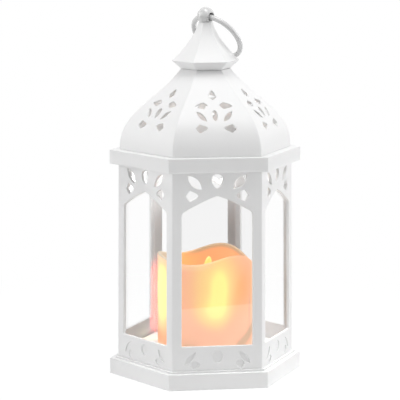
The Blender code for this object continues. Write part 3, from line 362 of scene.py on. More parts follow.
# %% Make the wax
def wax(name):
    """Peach wax: painted glow, paler below the front rim, painted shade inside the crest and the left end.
    """
    look = Finish(name)
    point = look.place()
    x, y, z = look.parts(point)
    cloud, fine = look.noise(38.0, 3.0, point), look.noise(420.0, 2.0, point)
    angle = look.node("ShaderNodeMath", {"operation": "ARCTAN2"}, {0: y, 1: x})
    radius = (x * x + y * y) ** 0.5
    inside, lip = look.fade(radius, *INNER_RADII), look.fade(radius, *LIP_RADII)
    depth = below_melted_rim(look, angle, z)
    front = look.fade(depth, *PALE_DEPTHS) * look.fade(angle, -1.75, -1.40) * (1.0 - inside)
    crest = look.fade(depth, *CREST_DEPTHS) * lip * look.ramp(y, 0.004, 0.020) * look.ramp(x, -0.016, 0.004)
    left_end = look.fade(depth, *END_DEPTHS) * lip * look.ramp(-x, 0.0255, 0.0285)
    left_end = left_end * look.fade((y * y) ** 0.5, 0.021, 0.029)
    glow = look.blend(0.4 * front, wall_glow(look, x, z, angle, inside, cloud), pale)
    glow = look.blend(0.9 * left_end, look.blend(0.9 * crest, glow, crest_glow), end_glow)
    gathered = look.node("ShaderNodeLightPath", out="Is Diffuse Ray")
    _, _, tilt = look.parts(look.node("ShaderNodeNewGeometry", out="Normal"))
    # Painted shade: the lip's top is darker where it faces up, less so inside the crest and the left end.
    painted_top_shade = look.ramp(tilt, 0.25, 0.85) * look.fade(depth, *TOP_SHADE_DEPTHS)
    painted_top_shade = painted_top_shade * (1.0 - 0.9 * left_end - 0.5 * crest)
    # The wax's own tone varies in clouds; painted shade darkens it inside the crest and the left end.
    tone_and_shade = look.blend(cloud, (0.40, 0.25, 0.145), (0.46, 0.285, 0.175))
    tone_and_shade = look.blend(0.7 * crest + 0.7 * left_end, tone_and_shade, (0.17, 0.15, 0.11))
    return look.principled({
        "Base Color": look.blend(0.7 * painted_top_shade, tone_and_shade, (0.05, 0.03, 0.02)), "Roughness": 0.42 + 0.12 * fine,
        "Emission Color": look.blend(0.92 * gathered, glow, unlit), "Emission Strength": 1.0,
        "Normal": look.relief(cloud + 0.15 * fine, 0.0006, 0.5)})


glowing_wax = wax("glowing wax")
glowing_wax.cycles.emission_sampling = "NONE"
for node in ("candle_shell", "pool_plate"):
    coat_node(node, glowing_wax)
print("glowing wax:", len(glowing_wax.node_tree.nodes), "nodes in its graph")

# %% [markdown]
# The tip that stands for the flame is frosted, and its glow is painted emission that grows brighter
# towards its point. The lens of the lamp below it is glossy and amber, and glows by painted emission too.

# %% Make the flame tip and the lamp under it
flame = Finish("frosted flame")
_, _, flame_z = flame.parts(flame.place())
rise = flame.ramp(flame_z, 0.072, 0.090)
frosted_flame = flame.principled({
    "Base Color": (0.30, 0.22, 0.10), "Roughness": 0.35 + 0.1 * flame.noise(600.0),
    "Emission Color": flame.blend(rise, (0.92, 0.55, 0.12), (0.94, 0.72, 0.15)), "Emission Strength": 1.0})
coat_node("flame_tip", frosted_flame)
lens = Finish("amber lens")
amber_lens = lens.principled({
    "Base Color": (0.9, 0.6, 0.2), "Roughness": 0.15 + 0.05 * lens.noise(900.0),
    "Emission Color": (1.0, 0.7, 0.25), "Emission Strength": 2.0})
coat_node("led", amber_lens)
print("flame and lamp")

# %% [markdown]
# ## What is under the floor
#
# Turned over, the lantern shows its battery case, door, switch and screws; between the floor and the
# candle's sunken top are the board and two leads. Each gets the finish such a part has: zinc-plated steel
# with faint drawing lines, green solder mask, black and cream mouldings, coloured sleeves and a printed
# cell sleeve.

# %% Make the finishes of the electric parts
cream_plastic = moulded("cream plastic", (0.80, 0.74, 0.62), 0.50)
black_plastic = moulded("black plastic", (0.025, 0.025, 0.027), 0.42, edge=0.0002)
red_sleeve = moulded("red sleeve", (0.55, 0.03, 0.03), 0.40, edge=0.0)
steel = Finish("plated steel")
steel_x, steel_y, steel_z = steel.parts(steel.place())
squeezed = steel.node("ShaderNodeCombineXYZ", None, {0: steel_x, 1: steel_y, 2: 12.0 * steel_z})
drawn = steel.noise(300.0, 4.0, squeezed)
steel_edge = steel.node("ShaderNodeBevel", {"samples": 8}, {"Radius": 0.0002})
plated_steel = steel.principled({
    "Base Color": steel.blend(drawn, (0.60, 0.60, 0.63), (0.74, 0.74, 0.76)), "Metallic": 1.0,
    "Roughness": 0.20 + 0.18 * drawn, "Normal": steel.relief(drawn, 0.00003, 0.5, steel_edge)})
mask = Finish("green board")
weave = mask.noise(700.0, 2.0)
green_board = mask.principled({
    "Base Color": mask.blend(weave, (0.03, 0.20, 0.08), (0.06, 0.28, 0.12)), "Roughness": 0.35 + 0.2 * weave,
    "Normal": mask.relief(weave, 0.00005, 0.5)})
label = Finish("cell label")
label_x, _, _ = label.parts(label.place())
half = label.ramp(label_x, 0.006, 0.0065)
cell_label = label.principled({
    "Base Color": label.blend(half, (0.10, 0.12, 0.16), (0.62, 0.45, 0.24)),
    "Roughness": 0.22 + 0.1 * label.noise(200.0), "Metallic": 0.5 * half, "Coat Weight": 0.5})
electric = {
    cream_plastic: ["candle_base"], green_board: ["led_board"], red_sleeve: ["lead_positive"],
    black_plastic: ["switch_body", "switch_slider", "lead_negative"],
    cell_label: ["battery_1", "battery_2", "battery_3"],
    plated_steel: ["finial_washer", "finial_nut", "candle_screw_1", "candle_screw_2", "case_screw_1",
                   "case_screw_2", "battery_spring_1", "battery_spring_2", "battery_spring_3",
                   "contact_negative", "contact_link_left", "contact_link_right", "contact_positive"]}
for material, names in electric.items():
    for node in names:
        coat_node(node, material)
print("electric parts:", sum(len(names) for names in electric.values()))

# %% [markdown]
# ## Shapes carried round a hexagon
#
# Almost every moulding of this lantern is a profile carried round a hexagon with slightly rounded corners.
# The corner's rounding has its centre on the ray to the corner, so one formula gives a whole row of points,
# and a rounding as large as the hexagon itself gives a circle. Rows of such points make the surface.


# %% Rows of points, their faces, and the finished piece
COS30, TAN30 = math.cos(math.radians(30)), math.tan(math.radians(30))


def hexagon(apothem, height, fillet, steps=5):
    """Rows of points round a hexagon whose corners are arcs of 60 degrees.

    The centre of an arc lies (apothem - fillet) / cos 30 out on its corner's ray.
    """
    apothem, height, fillet = (v[:, None, None] for v in np.broadcast_arrays(
        *(np.atleast_1d(np.asarray(v, float)) for v in (apothem, height, fillet))))
    ray = np.radians(60 * np.arange(6))[:, None]
    arc = ray + np.radians(np.linspace(-30, 30, steps + 1))[None, :]
    reach = (apothem - fillet) / COS30
    x, y = reach * np.cos(ray) + fillet * np.cos(arc), reach * np.sin(ray) + fillet * np.sin(arc)
    return np.stack([x, y, height + 0 * x], -1).reshape(len(height), -1, 3)


def grid_faces(rows, columns, round_rows, round_columns=True):
    """Corner numbers of the four-sided faces of a grid, closed along its rows or columns as asked."""
    r = np.arange(rows if round_rows else rows - 1)[:, None]
    c = np.arange(columns if round_columns else columns - 1)[None, :]
    r2, c2 = (r + 1) % rows, (c + 1) % columns
    around = np.broadcast_arrays(r * columns + c, r * columns + c2, r2 * columns + c2, r2 * columns + c)
    return np.stack(around, -1).reshape(-1, 4)


def soften(corners, radius, steps=3):
    """A closed outline whose corners are cut back and bridged by (1-t)^2 A + 2t(1-t) B + t^2 C."""
    corners = np.asarray(corners, float)
    back, on = np.roll(corners, 1, 0) - corners, np.roll(corners, -1, 0) - corners
    long_back, long_on = (np.linalg.norm(v, axis=1)[:, None] for v in (back, on))
    cut = np.minimum(radius, 0.4 * np.minimum(long_back, long_on))
    t = np.linspace(0, 1, steps + 1)[None, :, None]
    first, last = ((corners + v / long * cut)[:, None] for v, long in ((back, long_back), (on, long_on)))
    return ((1 - t) ** 2 * first + 2 * t * (1 - t) * corners[:, None] + t * t * last).reshape(-1, 2)


WELD, CREASE, TRAY_CREASE = 2e-6, 40.0, 35.0


def smooth_piece(name, mesh, finish, crease):
    """The object of a mesh in one finish, smooth up to a crease angle in degrees."""
    mesh.shade_smooth()
    mesh.set_sharp_from_angle(angle=math.radians(crease))
    mesh.materials.clear()
    mesh.materials.append(finish)
    made = put(name, mesh)
    made.modifiers.new("even shading", "WEIGHTED_NORMAL").keep_sharp = True
    return made


def finished(name, parts, finish, node, body="lantern"):
    """One piece of several (points, faces) parts, welded and turned outwards."""
    shape = bmesh.new()
    for points, faces in parts:
        mesh = bpy.data.meshes.new(name)
        mesh.from_pydata(points.reshape(-1, 3).tolist(), [], faces.tolist())
        shape.from_mesh(mesh)
        bpy.data.meshes.remove(mesh)
    bmesh.ops.remove_doubles(shape, verts=shape.verts, dist=WELD)
    bmesh.ops.dissolve_degenerate(shape, edges=shape.edges, dist=1e-7)
    bmesh.ops.recalc_face_normals(shape, faces=shape.faces)
    stray = [edge for edge in shape.edges if not edge.link_faces]
    bmesh.ops.delete(shape, geom=stray, context="EDGES")
    loose = sum(not edge.is_manifold for edge in shape.edges)
    mesh = bpy.data.meshes.new(name)
    shape.to_mesh(mesh)
    shape.free()
    made = smooth_piece(name, mesh, finish, CREASE)
    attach(made, body)
    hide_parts(node)
    print(f"{name}: {len(mesh.polygons)} faces, {loose} open edges")


def swept(rows, steps=5):
    """The closed surface of a closed profile of (apothem, height, fillet) rows."""
    rows = np.asarray(rows, float)
    points = hexagon(rows[:, 0], rows[:, 1], rows[:, 2], steps)
    return points, grid_faces(*points.shape[:2], True)


# %% [markdown]
# ## Petals and pierced walls
#
# The petals are three outlines: a leaf between two parabolas, an egg, and a bud with a blunt inner end. On
# the real moulding each is a hole with a slightly rounded mouth.


# %% Outlines of the petals
def leaf(length, width, count=11):
    """Two parabolas y = w/2 (1 - t^2) between two tips."""
    t = np.sin(np.linspace(-np.pi / 2, np.pi / 2, count))
    lower = np.stack([length / 2 * t, -width / 2 * (1 - t * t)], 1)
    return np.concatenate([lower[:-1], -lower[:-1]])


def egg(length, width, count=24):
    """An ellipse whose width swells by 22 per cent towards its outer end."""
    a = np.linspace(0, 2 * np.pi, count, endpoint=False)
    return np.stack([length / 2 * np.cos(a), width / 2 * np.sin(a) * (1 + 0.22 * np.cos(a))], 1)


def bud(length, width):
    """A kite with softened corners, broad towards the outer end."""
    half, side = length / 2, width / 2
    kite = [(half, 0), (0.36 * half, side), (-0.64 * half, 0.45 * side), (-half, 0),
            (-0.64 * half, -0.45 * side), (0.36 * half, -side)]
    return soften(kite, 0.0009)


def placed(motif, lift):
    """Every outline of a motif turned and moved into place; those off the middle are mirrored too."""
    made = []
    for outline, across, up, degrees in motif:
        c, s = math.cos(math.radians(degrees)), math.sin(math.radians(degrees))
        outline = outline @ np.array([[c, s], [-s, c]]) + (across, up + lift)
        made.append(outline)
        if across:
            made.append((outline * (-1, 1))[::-1])
    return made


FAN = ((egg(0.0104, 0.0082), 0.0, 0.0111, 90), (leaf(0.0148, 0.0062), 0.0170, 0.0101, 45),
       (bud(0.0098, 0.0086), 0.0189, 0.0001, 0))
BAND = ((egg(0.0088, 0.0078), 0.0, 0.0101, 90), (leaf(0.0120, 0.0040), 0.0207, 0.0094, -48),
        (bud(0.0076, 0.0068), 0.0171, 0.0043, -8))
DOME_MOTIF = ((bud(0.0066, 0.0064), 0.0, 0.0434, -90), (bud(0.0100, 0.0046), 0.0092, 0.0362, 177),
              (leaf(0.0096, 0.0034), 0.0099, 0.0289, 43), (egg(0.0072, 0.0042), 0.0, 0.0295, 90),
              (bud(0.0098, 0.0062), 0.0107, 0.0205, -4))
print("petals on the dome:", len(placed(DOME_MOTIF, 0.0)), "and over each window:", len(placed(FAN, 0.0)))


# %% [markdown]
# A pierced wall starts as a flat sheet in two coordinates, across and up, cut into triangles that follow the
# outlines. The ones inside an outline are left out.


# %% Cut a sheet along its outlines
def within(points, outline):
    """True where a line to the right of a point crosses the outline an odd number of times."""
    x, y = points[:, :1], points[:, 1:]
    ax, ay, bx, by = outline[:, 0], outline[:, 1], np.roll(outline[:, 0], -1), np.roll(outline[:, 1], -1)
    crosses = (ay > y) != (by > y)
    meets = ax + (y - ay) * (bx - ax) / np.where(by == ay, 1.0, by - ay)
    return np.count_nonzero(crosses & (x < meets), axis=1) % 2 == 1


def cut_sheet(across, up, outlines, clear):
    """Points and triangles of a rectangle with holes: a grid, thinned near the outlines, then joined."""
    p, q = (v.ravel() for v in np.meshgrid(across, up))
    grid = np.stack([p, q], 1)
    keep = np.ones(len(grid), bool)
    for outline in outlines:
        gap = np.linalg.norm(grid[:, None] - outline[None], axis=2).min(1)
        keep &= (gap > clear) & ~within(grid, outline)
    keep |= (p == across[0]) | (p == across[-1]) | (q == up[0]) | (q == up[-1])
    sets = [grid[keep], *outlines]
    starts = np.cumsum([0] + [len(s) for s in sets])
    edges = [np.stack([a + np.arange(len(s)), a + (np.arange(len(s)) + 1) % len(s)], 1)
             for a, s in zip(starts[1:], outlines)]
    points, _, triangles, *_ = delaunay_2d_cdt(np.concatenate(sets).tolist(),
                                               np.concatenate(edges).tolist(), [], 0, 1e-8)
    points, triangles = np.array([tuple(v) for v in points]), np.array(triangles)
    middles = points[triangles].mean(1)
    solid = np.ones(len(triangles), bool)
    for outline in outlines:
        solid &= ~within(middles, outline)
    return points, triangles[solid]


def spread(outline, by):
    """The outline moved outward, at each point along the mean of the normals of its two edges."""
    edge = np.roll(outline, -1, 0) - outline
    edge /= np.linalg.norm(edge, axis=1)[:, None]
    normal = np.stack([edge[:, 1], -edge[:, 0]], 1)
    before = np.roll(normal, 1, 0)
    return outline + by * (normal + before) / (1 + (normal * before).sum(1))[:, None]


# %% [markdown]
# The sheet is then wrapped on the face at any depth in the wall, once outside, once inside, and rings of
# points join the two round each hole. SPAN is half the sheet's width, and MOUTH the radius of the softened
# mouths. A pressed petal has a mouth and a flat bed instead of a hole.

# %% Wrap the sheet on a hexagonal wall
SPAN, MOUTH = 0.03, 0.00035


def on_face(points, depth, wall):
    """The front face: x is the sheet's p stretched to the flat's half width (apothem - fillet) tan 30."""
    apothem, height, fillet = wall(points[..., 1], depth)
    return np.stack([points[..., 0] / SPAN * (apothem - fillet) * TAN30, -apothem, height], -1)


def to_sheet(outline, wall):
    """The other way round: an outline in metres on the face becomes sheet coordinates."""
    apothem, _, fillet = wall(outline[:, 1], 0.0)
    return np.stack([outline[:, 0] / ((apothem - fillet) * TAN30) * SPAN, outline[:, 1]], 1)


def six_times(parts):
    """The same parts on each of the six faces."""
    angles = np.radians(60 * np.arange(6))
    spins = [np.array([[c, s, 0], [-s, c, 0], [0, 0, 1]]) for c, s in zip(np.cos(angles), np.sin(angles))]
    return [(points @ spin, faces) for spin in spins for points, faces in parts]


def pierced_wall(wall, thick, low, high, columns, rows, holes, pressed=(), sunk=0.0, clear=0.0008):
    """A hexagonal wall: per face two cut sheets, a ring of faces in each hole, the ends and a corner."""
    across, up = np.linspace(-SPAN, SPAN, columns), np.linspace(low + MOUTH, high - MOUTH, rows)
    lip = [(MOUTH, 0.0), (0.3 * MOUTH, 0.3 * MOUTH), (0.0, MOUTH)]
    through = lip + [(out, thick - depth) for out, depth in lip[::-1]]
    mouths = [to_sheet(spread(o, MOUTH), wall) for o in [*holes, *pressed]]
    parts = []
    for depth, outlines in ((0.0, mouths), (thick, mouths[:len(holes)])):
        points, triangles = cut_sheet(across, up, outlines, clear)
        parts.append((on_face(points, depth, wall), triangles if depth == 0 else triangles[:, ::-1]))
    for outline, path in [(o, through) for o in holes] + [(o, lip + [(0.0, sunk)]) for o in pressed]:
        rings = [on_face(to_sheet(spread(outline, out), wall), depth, wall) for out, depth in path]
        parts.append((np.stack(rings), grid_faces(len(path), len(outline), False)))
    for outline in pressed:
        bed = np.concatenate([outline, outline.mean(0)[None]])
        ring = np.arange(len(outline))
        fan = np.stack([ring, np.roll(ring, -1), 0 * ring + len(outline)], 1)
        parts.append((on_face(to_sheet(bed, wall), sunk, wall), fan))
    ends = {end: [(MOUTH * 0.3, end + side * 0.3 * MOUTH), (MOUTH, end), (thick - MOUTH, end),
                  (thick - MOUTH * 0.3, end + side * 0.3 * MOUTH)] for end, side in ((low, 1), (high, -1))}
    for end, edge in ((low, up[0]), (high, up[-1])):
        path = [(0.0, edge), *ends[end], (thick, edge)]
        strip = [on_face(np.stack([across, 0 * across + q], 1), depth, wall) for depth, q in path]
        parts.append((np.stack(strip), grid_faces(len(path), columns, False, False)))
    loop = [(0.0, q) for q in up] + ends[high] + [(thick, q) for q in up[::-1]] + ends[low][::-1]
    depth, q = np.array(loop).T
    corner = hexagon(*wall(q, depth)).reshape(len(loop), 6, -1, 3)[:, 5]
    parts.append((corner, grid_faces(*corner.shape[:2], True, False)))
    return six_times(parts)


# %% [markdown]
# ## The base tray
#
# The tray is a wide hexagonal skirt with a low step on it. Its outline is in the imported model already,
# but its edges are sharp there, and on a ledge two millimetres wide the rounding is what catches the light.
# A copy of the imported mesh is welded, and the outermost edges alone are bevelled by a quarter of a
# millimetre. The step's riser leans in a little at its foot.

# %% Round the outer edges of the tray
TRAY_EDGE, RISER_FOOT, RISER_RADIUS, UNDERCUT = 0.00022, 0.0122, 0.0710, 0.0004


def rounded_copy(name, node, finish, least_radius, edge):
    """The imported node, welded, its flat faces joined, its sharp convex edges beyond a radius bevelled.

    The corners at the foot of the riser are first drawn inward by the undercut.
    """
    mesh = nodes[node].data.copy()
    spots = np.empty(3 * len(mesh.vertices))
    mesh.vertices.foreach_get("co", spots)
    spots = spots.reshape(-1, 3)
    at_foot = np.abs(spots[:, 2] - RISER_FOOT) < 1e-5
    at_foot &= np.abs(np.hypot(spots[:, 0], spots[:, 1]) - RISER_RADIUS) < 2e-4
    spots[at_foot, :2] *= 1.0 - UNDERCUT / RISER_RADIUS
    mesh.vertices.foreach_set("co", spots.ravel())
    shape = bmesh.new()
    shape.from_mesh(mesh)
    bmesh.ops.remove_doubles(shape, verts=shape.verts, dist=WELD)
    bmesh.ops.dissolve_limit(shape, angle_limit=math.radians(0.5), verts=shape.verts, edges=shape.edges)
    outer = [e for e in shape.edges if len(e.link_faces) == 2 and e.is_convex
             and e.calc_face_angle(0.0) > math.radians(40)
             and min(math.hypot(v.co.x, v.co.y) for v in e.verts) > least_radius]
    bmesh.ops.bevel(shape, geom=outer, offset=edge, segments=3, profile=0.5, affect="EDGES")
    shape.to_mesh(mesh)
    shape.free()
    made = smooth_piece(name, mesh, finish, TRAY_CREASE)
    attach(made, "lantern")
    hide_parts(node)
    print(f"{name}: {at_foot.sum()} foot corners drawn in, {len(outer)} edges rounded,",
          f"{len(mesh.polygons)} faces")


rounded_copy("tray", "base_tray", white_smooth, 0.0700, TRAY_EDGE)

# %% [markdown]
# ## The cage
#
# The cage is one moulding: six leaning faces, each with a pointed window, a fan of five petals over it and a
# row of five shallow pressed petals under the sill. Its faces narrow evenly as they rise, so that the mould
# can be pulled off. The window's outline is two posts, rounded shoulders and two slopes that bulge a little.

# %% Make the cage
STEP_TOP, RIM_BOTTOM, BODY_TOP = 0.0137, 0.1638, 0.1721
SILL, SHOULDER, ARCH_APEX = 0.0321, 0.1332, 0.1458
BODY_RADIUS, BODY_DRAFT, BODY_WALL, BODY_CORNER = 0.0687, 0.0013, 0.0022, 0.0015
POST, SHOULDER_CUT, BULGE = 0.0070, 0.0024, 0.0032
CAGE_LIFT, PRESSED_DEPTH, PRESSED_CLEAR = 0.00005, 0.0009, 0.0012


def body_wall(height, depth):
    """Apothem, height and fillet of the cage's face, so deep inside its outer surface."""
    radius = BODY_RADIUS - BODY_DRAFT * (height - STEP_TOP) / (RIM_BOTTOM - STEP_TOP)
    fillet = BODY_CORNER * (1 - depth / BODY_WALL * 2 / 3)
    return radius * COS30 - depth, height + 0 * depth, fillet + 0 * height


def window():
    """A sill, two posts, shoulders (1-t)^2 A + 2t(1-t) B + t^2 C, and two slopes with a parabolic bulge."""
    low, high = (body_wall(z, 0.0)[0] * TAN30 - POST for z in (SILL, SHOULDER))
    slope = math.hypot(high, ARCH_APEX - SHOULDER)
    back, rise = SHOULDER_CUT * high / slope, SHOULDER_CUT * (ARCH_APEX - SHOULDER) / slope
    t = np.linspace(0, 1, 6)[:, None]
    a, b, c = np.array([(high, SHOULDER - SHOULDER_CUT), (high, SHOULDER), (high - back, SHOULDER + rise)])
    shoulder = (1 - t) ** 2 * a + 2 * t * (1 - t) * b + t * t * c
    t = np.linspace(0, 1, 15)[1:]
    arch = np.stack([c[0] * (1 - t), c[1] + (ARCH_APEX - c[1]) * t + BULGE * t * (1 - t)], 1)
    sill = np.array([[low - 0.0006, SILL], [low - 0.0002, SILL + 0.0002], [low, SILL + 0.0006]])
    right = np.concatenate([sill, shoulder, arch])
    return np.concatenate([right, (right[:-1] * (-1, 1))[::-1]])


tab = np.array([(x, y, z) for z in (0.0115, 0.0162) for x, y in ((-0.005, -0.059), (0.005, -0.059),
                                                                (0.005, -0.0578), (-0.005, -0.0578))])
tab_faces = np.array([(3, 2, 1, 0), (4, 5, 6, 7), (0, 1, 5, 4), (1, 2, 6, 5), (2, 3, 7, 6), (3, 0, 4, 7)])
walls = pierced_wall(body_wall, BODY_WALL, STEP_TOP + CAGE_LIFT, BODY_TOP, 19, 43,
                     [window(), *placed(FAN, ARCH_APEX)], placed(BAND, STEP_TOP),
                     PRESSED_DEPTH, PRESSED_CLEAR)
finished("cage", walls + six_times([(tab, tab_faces)]), white_smooth, "body_frame")

# %% [markdown]
# ## The dome
#
# The dome's corner follows one cubic curve from a nearly upright foot to a steep neck, so its faces are
# bent one way only. The inside of the wall is the curve moved in along its normal. A plate at the neck has
# the round hole for the finial's stem, and a flange under the foot drops inside the rim and keeps the dome
# in place.


# %% Make the dome
def cubic(a, b, c, d, count):
    """Points (1-t)^3 A + 3t(1-t)^2 B + 3t^2(1-t) C + t^3 D."""
    t = np.linspace(0, 1, count)[:, None]
    a, b, c, d = (np.asarray(v, float) for v in (a, b, c, d))
    return (1 - t) ** 3 * a + 3 * t * (1 - t) ** 2 * b + 3 * t * t * (1 - t) * c + t**3 * d


RIM_TOP, DECK_UNDER, SEAM = 0.1746, 0.1724, 0.00003
GAP, PANE_THICKNESS, FLANGE_WALL = 0.0003, 0.0010, 0.0014
DOME_FOOT, DOME_TOP, DOME_WALL, NECK_RADIUS = 0.1749, 0.2357, 0.0020, 0.0192
rim_radius = BODY_RADIUS - BODY_DRAFT + 0.00685
dome_radius = rim_radius - 0.00785
dome_line = cubic((dome_radius, DOME_FOOT), (dome_radius + 0.0010, DOME_FOOT + 0.0285),
                  (NECK_RADIUS + 0.0198, DOME_TOP - 0.0249), (NECK_RADIUS, DOME_TOP), 240) * (COS30, 1.0)
dome_slope = np.gradient(dome_line[:, 0], dome_line[:, 1])


def dome_wall(height, depth):
    """Apothem, height and fillet of the dome's face: the curve moved in along its normal (1, -slope)."""
    slope = np.interp(height, dome_line[:, 1], dome_slope)
    length = np.hypot(1.0, slope)
    apothem = np.interp(height, dome_line[:, 1], dome_line[:, 0])
    return apothem - depth / length, height + depth * slope / length, 0.0013 - 0.4 * depth + 0 * height


def ring_of(corners, fillet, radius=0.0003):
    """A closed (apothem, height) profile, corners softened, as rows of one fillet; None makes it round."""
    outline = soften(corners, radius)
    return swept(np.column_stack([outline, outline[:, 0] if fillet is None else 0 * outline[:, 0] + fillet]))


flange_in = body_wall(DECK_UNDER, BODY_WALL + PANE_THICKNESS)[0] - 2 * GAP - FLANGE_WALL
spigot_out = flange_in - GAP
wall_middle = dome_line[0, 0] - DOME_WALL / 2
spigot = ring_of([(spigot_out, 0.1715), (spigot_out, DOME_FOOT), (wall_middle, DOME_FOOT),
                  (wall_middle, DOME_FOOT + 0.0020), (spigot_out - 0.0020, DOME_FOOT + 0.0020),
                  (spigot_out - 0.0020, 0.1715)], 0.0012)
plate_out = dome_wall(0.2300, DOME_WALL / 2)[0]
plate = swept([(plate_out, 0.2290, 0.0010), (plate_out, 0.2310, 0.0010), (0.0028, 0.2310, 0.0028),
               (0.0028, 0.2290, 0.0028)])
walls = pierced_wall(dome_wall, DOME_WALL, RIM_TOP + SEAM, DOME_TOP, 21, 41, placed(DOME_MOTIF, DOME_FOOT))
finished("dome", walls + [spigot, plate], white_smooth, "roof_dome")

# %% [markdown]
# ## Rim and spire
#
# The rim is a flat band with a thin deck that holds the cage's top in a groove. The spire is a hollow
# cap: an upright collar that flares to a sharp brim, then six concave faces that rise to a small flat top.

# %% Make the rim and the spire cap
rim_out, flange = rim_radius * COS30, flange_in + FLANGE_WALL
groove_foot, flange_foot = DECK_UNDER - 0.0029, DECK_UNDER - 0.0039
lip = body_wall(groove_foot, 0.0)[0] + GAP
rim_profile = [
    (rim_out, RIM_BOTTOM), (rim_out, RIM_TOP), (flange_in, RIM_TOP), (flange_in, flange_foot),
    (flange, flange_foot), (flange, DECK_UNDER), (lip, DECK_UNDER), (lip, groove_foot),
    (lip + 0.0012, groove_foot), (lip + 0.0012, DECK_UNDER), (rim_out - 0.0022, DECK_UNDER),
    (rim_out - 0.0022, RIM_BOTTOM)]
finished("rim", [ring_of(rim_profile, 0.0011)], white_smooth, "roof_rim")

COLLAR_FOOT, SPIRE_RIM, SPIRE_TOP, SPIRE_WALL, TOP_PLATE = DOME_TOP + SEAM, 0.2419, 0.2710, 0.0018, 0.0030
brim = NECK_RADIUS + 0.0070
outer = cubic((brim, SPIRE_RIM), (brim - 0.0062, SPIRE_RIM + 0.0049), (0.0058, SPIRE_TOP - 0.0067),
              (0.0058, SPIRE_TOP), 33) * (COS30, 1.0)
slope = np.gradient(outer, axis=0)
slope /= np.linalg.norm(slope, axis=1)[:, None]
hollow = outer + SPIRE_WALL * np.stack([-slope[:, 1], slope[:, 0]], 1)
up = hollow[:, 1]
hollow = hollow[(up > SPIRE_RIM + SPIRE_WALL) & (up < SPIRE_TOP - TOP_PLATE) & (hollow[:, 0] > 0.0037)]
spigot = (NECK_RADIUS - 0.0023 / COS30) * COS30
collar = NECK_RADIUS * COS30
profile = np.concatenate([
    [(spigot - 0.0018, COLLAR_FOOT), (spigot - 0.0018, COLLAR_FOOT - 0.0030), (spigot, COLLAR_FOOT - 0.0030),
     (spigot, COLLAR_FOOT), (collar, COLLAR_FOOT), (collar + 0.0019, COLLAR_FOOT + 0.0021)],
    outer, [(0.0028, SPIRE_TOP), (0.0028, SPIRE_TOP - TOP_PLATE)], hollow[::-1],
    [(hollow[0, 0], SPIRE_RIM)]])
fillets = np.interp(profile[:, 0], [0.0028, 0.0040, 0.0225], [0.0028, 0.0007, 0.0010])
rows = np.column_stack([soften(profile, 0.00035, 2), np.repeat(fillets, 3)])
finished("spire", [swept(rows)], white_smooth, "spire_cap")

# %% [markdown]
# ## Ball and ring
#
# The ball is bored across, and the ring hangs in the bore, fallen to one side. Turning about the bore, each
# direction meets the sphere at its own distance, because the bore lies a little below the ball's middle.

# %% Make the ball and the ring
BALL_CENTRE, BALL_RADIUS, FINIAL_FOOT, BORE_DROP, BORE_RADIUS = 0.2759, 0.00655, 0.2713, 0.0007, 0.0033
axis_turn = math.radians(-50)
bore_axis = np.array([math.cos(axis_turn), math.sin(axis_turn), 0.0])
lean = np.array([-bore_axis[1], bore_axis[0], 0.0])
upward = np.array([0.0, 0.0, 1.0])
pivot = np.array([0.0, 0.0, BALL_CENTRE - BORE_DROP])
a = np.linspace(0, 2 * np.pi, 64, endpoint=False)[None, :]
reach = np.sqrt(BALL_RADIUS**2 - BORE_RADIUS**2 + 2 * BORE_DROP * BORE_RADIUS * np.sin(a) - BORE_DROP**2)
u = np.sin(np.linspace(-np.pi / 2, np.pi / 2, 41))[:, None] * reach
far = BORE_DROP * np.sin(a) + np.sqrt(BALL_RADIUS**2 - u**2 - (BORE_DROP * np.cos(a)) ** 2)
inner_u = np.linspace(1, -1, 9)[1:-1, None] * reach
u, far = np.concatenate([u, inner_u]), np.concatenate([far, BORE_RADIUS + 0 * inner_u])
radial = np.cos(a)[..., None] * lean + np.sin(a)[..., None] * upward
ball = pivot + u[..., None] * bore_axis + far[..., None] * radial
ball[..., 2] = np.maximum(ball[..., 2], FINIAL_FOOT + 0.0003)
stem = ring_of([(0.0, 0.2222), (0.0025, 0.2222), (0.0025, FINIAL_FOOT), (0.0052, FINIAL_FOOT),
                (0.0052, FINIAL_FOOT + 0.0009), (0.0, FINIAL_FOOT + 0.0012)], None, 0.0002)
finished("ball", [(ball, grid_faces(*ball.shape[:2], True)), stem], white_lacquer,
         "finial_knob")

RING_RADIUS, WIRE_RADIUS, tilt = 0.0206, 0.0020, math.radians(39.388)
down = math.sin(tilt) * lean - math.cos(tilt) * upward
side = np.cross(down, bore_axis)
a = np.linspace(0, 2 * np.pi, 144, endpoint=False)[:, None, None]
b = np.linspace(0, 2 * np.pi, 28, endpoint=False)[None, :, None]
outward = np.cos(a) * down + np.sin(a) * bore_axis
wire = pivot + RING_RADIUS * down + (RING_RADIUS + WIRE_RADIUS * np.cos(b)) * outward
wire = wire + WIRE_RADIUS * np.sin(b) * side
finished("ring", [(wire, grid_faces(*wire.shape[:2], True))], white_lacquer,
         "hanging_ring", "ring")

# %% [markdown]
# ## The candle
#
# A candle of real wax is dipped over a plastic core, and its rim is melted by hand into waves, so no two
# are alike. Its wall is a tube whose rim height is a sum of four cosines round the axis. The rim is
# rounded, and the wall itself is never quite round.

# %% Make the candle and its flame
CANDLE_RADIUS, CANDLE_WALL, POOL_SEAT = 0.0375, 0.0028, 0.0697
INSET, LEDGE, ROUNDING = 0.0002, 0.0013, 0.0014
turn = np.linspace(0, 2 * np.pi, 216, endpoint=False)


def waves(terms, at):
    """A sum of cosines: amplitude * cos(count * (angle - offset)), offsets in degrees."""
    return sum(size * np.cos(count * (at - math.radians(offset))) for size, count, offset in terms)


